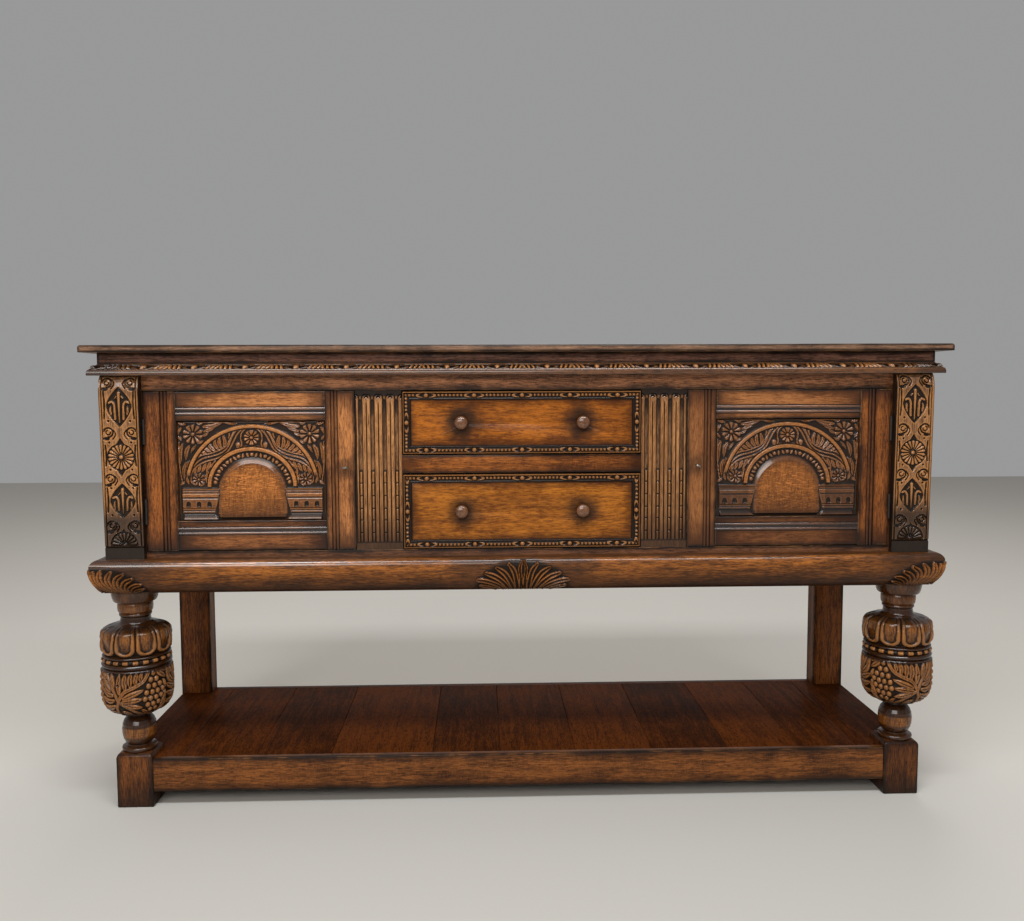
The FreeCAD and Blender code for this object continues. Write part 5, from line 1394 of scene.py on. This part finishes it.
def front_leg(hand, finish):
    node = "front_leg_" + hand
    sign = HANDS[hand]
    axis_x, axis_y = sum(span(node))[:2] / 2
    levels = np.concatenate([np.linspace(*run) for run in LEG_RUNS])
    turn, z = np.meshgrid(np.linspace(-math.pi, math.pi, LEG_COLUMNS + 1), levels)
    height, depth, stain_and_shade = leg_carving(turn, z)
    out = np.interp(z, *np.array(LEG_ROWS).T) + height
    place = (axis_x - sign * out * np.sin(turn), axis_y - out * np.cos(turn),
             np.interp(z, *np.array(LEG_LEVELS).T))
    piece = relief(hand + "_turned_leg", place, height, depth, stain_and_shade=stain_and_shade)
    piece.data.materials.append(finish)
    foot = foot_block(hand, axis_x, axis_y)
    return finished(joined([piece, foot], hand + "_carved_leg"), node, None)


# Everything that is only boards

BOARDS = {
    "upper_drawer_front": dict(light=AMBER, dark=AMBER_DARK, dirt=0.018, figure=0.12),
    "lower_drawer_front": dict(light=tone(0.42, 0.137, 0.013), dark=AMBER_DARK, dirt=0.018, figure=0.12),
    "drawer_divider": dict(light=tone(0.37, 0.112, 0.018), dark=BROWN_DARK, dirt=0.009, figure=0.2,
                           ends=0.10),
    "front_top_rail": dict(light=tone(0.40, 0.165, 0.072), dirt=0.010, figure=0.15, gloss=0.5),
    "front_bottom_rail": dict(light=tone(0.17, 0.066, 0.026), dirt=0.006, gloss=0.5),
    "potboard_front_rail": dict(ease=2.0, light=tone(0.25, 0.082, 0.017), dark=tone(0.040, 0.012, 0.003),
                                dirt=0.014, figure=0.25, gloss=0.3),
    "potboard_back_rail": dict(ease=1.5, light=PLANK, dark=PLANK_DARK, gloss=0.2),
    "potboard_end_rails": dict(ease=1.5, light=PLANK, dark=PLANK_DARK, grain="Y", gloss=0.2),
    "top_board": dict(ease=1.2, light=tone(0.33, 0.180, 0.105), dark=tone(0.062, 0.031, 0.019), dirt=0.005,
                      figure=0.15, gloss=0.3, calm=0.7),
    "frieze_boards": dict(light=tone(0.25, 0.112, 0.070), dirt=0.006, gloss=0.4),
    "back_leg_left": dict(ease=2.0, light=LEG_BROWN, grain="Z", figure=0.1, gloss=0.12),
    "back_leg_right": dict(ease=2.0, light=LEG_BROWN, grain="Z", figure=0.1, gloss=0.12),
    "corner_posts": dict(light=DEEP_BROWN, grain="Z", calm=0.8),
    "side_rails_left": dict(light=BROWN, dark=BROWN_DARK, grain="Y", dirt=0.010, calm=0.8),
    "side_rails_right": dict(light=BROWN, dark=BROWN_DARK, grain="Y", dirt=0.010, calm=0.8),
    "side_panels": dict(light=BROWN, dark=BROWN_DARK, grain="Z", dirt=0.018, figure=0.3, calm=0.8),
}
# how much of a drawer front's edges its moulding covers before they darken
COVERED = 0.016


def plain_board(node, light, dark=DEEP_DARK, grain="X", ease=1.0, dirt=0.008, gloss=0.25, **more):
    low, high = (np.array(corner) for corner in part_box(node))
    if node.endswith("drawer_front"):
        inset = np.array((COVERED, 0.0, COVERED))
        low, high = low + inset, high - inset
        level = node.split("_")[0]
        more["halos"] = [(side * KNOB_X * MM, knob_height(level) * MM, 0.054, 0.86) for side in (-1, 1)]
    finish = oak(node + "_oak", light, dark, grain, len(node) * 1.37, (low, high), dirt, gloss=gloss, **more)
    return eased(node, ease, finish)


# The carved woods

panel_oak = oak("arch_panel_oak", tone(0.38, 0.130, 0.028), tone(0.125, 0.038, 0.009), "Z", 3.1, carved=True,
                figure=0.9, calm=0.8, gloss=0.75, lacquer=1.6)
corbel_oak = oak("corbel_oak", tone(0.41, 0.192, 0.076), tone(0.085, 0.034, 0.012), "Z", 5.7, carved=True,
                 gloss=0.7, wear_and_highlight=0.75, lacquer=1.55)
muntin_oak = oak("muntin_oak", tone(0.57, 0.268, 0.102), tone(0.14, 0.052, 0.017), "Z", 8.2, carved=True,
                 gloss=0.5, lacquer=1.5)
cornice_oak = oak("cornice_oak", tone(0.36, 0.135, 0.040), tone(0.050, 0.017, 0.006), "X", 11.4, carved=True,
                  gloss=0.65, wear_and_highlight=0.85, lacquer=1.5)
# the cushion's foot darkened below 506 mm: painted shade under the moulding
cushion_oak = oak("cushion_oak", tone(0.45, 0.146, 0.024), tone(0.060, 0.019, 0.005), "X", 14.9, carved=True,
                  foot=(0.472, 0.506), gloss=0.25, wear_and_highlight=0.3, lacquer=1.75)
edge_oak = oak("drawer_edge_oak", tone(0.17, 0.064, 0.020), tone(0.03, 0.011, 0.005), "X", 17.3, carved=True,
               gloss=0.5, wear_and_highlight=0.55)
knob_oak = oak("knob_wood", tone(0.20, 0.082, 0.034), tone(0.06, 0.021, 0.008), "Y", 19.1, gloss=0.85,
               lacquer=1.6)
leg_oak = oak("leg_oak", tone(0.32, 0.113, 0.022), tone(0.045, 0.013, 0.003), "Z", 23.6, carved=True,
              gloss=0.65, wear_and_highlight=0.46, sheen=0.05, lacquer=1.5)


# Every piece in its place

for count, hand in enumerate(HANDS):
    for step, part in enumerate(DOOR_BOARDS, 1):
        reeded_board(hand, part, door_board_oak(hand, part, 31.0 + 7.7 * count + 1.9 * step))
    door_panel(hand, panel_oak)
    front_leg(hand, leg_oak)
for node, looks in BOARDS.items():
    plain_board(node, **looks)
planks_oak = oak("potboard_planks_oak", PLANK, PLANK_DARK, "Y", 41.3, figure=0.25, boards=True, gloss=0.03,
                 sheen=0.02, rough=0.10)
backs_oak = oak("back_boards_oak", BARE, BARE_DARK, "Z", 43.7, figure=0.1, boards=True, calm=0.5, gloss=0.05)
eased("potboard_planks", 1.5, planks_oak, True)
eased("back_boards", 1.0, backs_oak, True)
corbels(corbel_oak)
muntins(muntin_oak)
cornice(cornice_oak)
cushion(cushion_oak)
for level in LEVELS:
    edge_moulding(level, edge_oak)
    knobs(level, knob_oak)

inner_oak = oak("inner_oak", BARE, BARE_DARK, "Y", 47.1, gloss=0.08)
rail_oak = oak("inner_rail_oak", BARE, BARE_DARK, "X", 49.9, gloss=0.08)
hinge_iron = iron("hinge_iron", tone(0.05, 0.042, 0.037), 0.60)
key_steel = iron("key_steel", tone(0.36, 0.33, 0.29), 0.36)
lock_iron = iron("lock_iron", tone(0.12, 0.10, 0.09), 0.50)
dressed(rail_oak, "back_rails", "carcass_bottom")
dressed(inner_oak, "partitions", "drawer_runners")
for level in LEVELS:
    dressed(inner_oak, level + "_drawer_sides")
    dressed(rail_oak, level + "_drawer_bottom", level + "_drawer_back")
for hand in HANDS:
    dressed(key_steel, hand + "_key")
    dressed(lock_iron, hand + "_lock_case", hand + "_lock_bolt")
    dressed(hinge_iron, hand + "_door_hinge_leaves")
dressed(hinge_iron, "hinge_post_leaves", "hinge_pins")


# Floor, light and camera

bpy.ops.object.select_all(action="DESELECT")
bpy.ops.mesh.primitive_plane_add(size=14.0, location=(0.0, 0.0, 0.0))
floor = bpy.context.object
floor.name = "pale_floor"
pale = Finish("pale_floor")
pale.surface(Base_Color=tone(0.56, 0.53, 0.48), Roughness=0.85)
floor.data.materials.append(pale.block)

world = bpy.data.worlds.new("studio")
bpy.context.scene.world = world
world.use_nodes = True
sky = world.node_tree.nodes["Background"].inputs
sky["Color"].default_value = tone(0.93, 0.93, 0.94)
sky["Strength"].default_value = 0.34


def lamp(name, place, aim, size, power, colour):
    light = bpy.data.lights.new(name, "AREA")
    light.shape = "RECTANGLE"
    light.size, light.size_y = size
    light.energy = power
    light.color = colour
    made = bpy.data.objects.new(name, light)
    bpy.context.scene.collection.objects.link(made)
    made.location = place
    made.rotation_euler = (Vector(aim) - Vector(place)).to_track_quat("-Z", "Y").to_euler()


lamp("front_light", (-1.2, -4.2, 2.6), (0.0, 0.0, 0.6), (3.2, 1.6), 92.0, (1.0, 0.97, 0.93))
lamp("top_light", (0.0, -1.9, 3.3), (0.0, -0.1, 0.6), (3.4, 0.5), 95.0, (0.90, 0.95, 1.0))
lamp("back_light", (0.6, 2.8, 4.6), (0.0, 0.2, 0.6), (3.4, 1.6), 110.0, (1.0, 0.98, 0.95))

# the view of the photograph: its focal length and width in pixels, and where it was taken from
FOCAL = 934.66233
PHOTO_WIDTH = 1024.0
SENSOR = 36.0
STAND = (-0.08701565, -2.2252918, 0.90674103)
YAW, PITCH_DOWN, ROLL = -0.03268, -0.07737, 0.0036
view = bpy.data.cameras.new("photo_view")
view.sensor_fit = "HORIZONTAL"
view.sensor_width = SENSOR
view.lens = FOCAL / PHOTO_WIDTH * SENSOR
camera = bpy.data.objects.new("photo_view", view)
bpy.context.scene.collection.objects.link(camera)
camera.matrix_world = (Matrix.Translation(STAND) @ Matrix.Rotation(YAW, 4, "Z")
                       @ Matrix.Rotation(PITCH_DOWN, 4, "X") @ Matrix.Rotation(ROLL, 4, "Y")
                       @ Matrix.Rotation(math.pi / 2, 4, "X"))
bpy.context.scene.camera = camera
bpy.context.scene.view_settings.view_transform = "Standard"

bpy.context.view_layer.update()
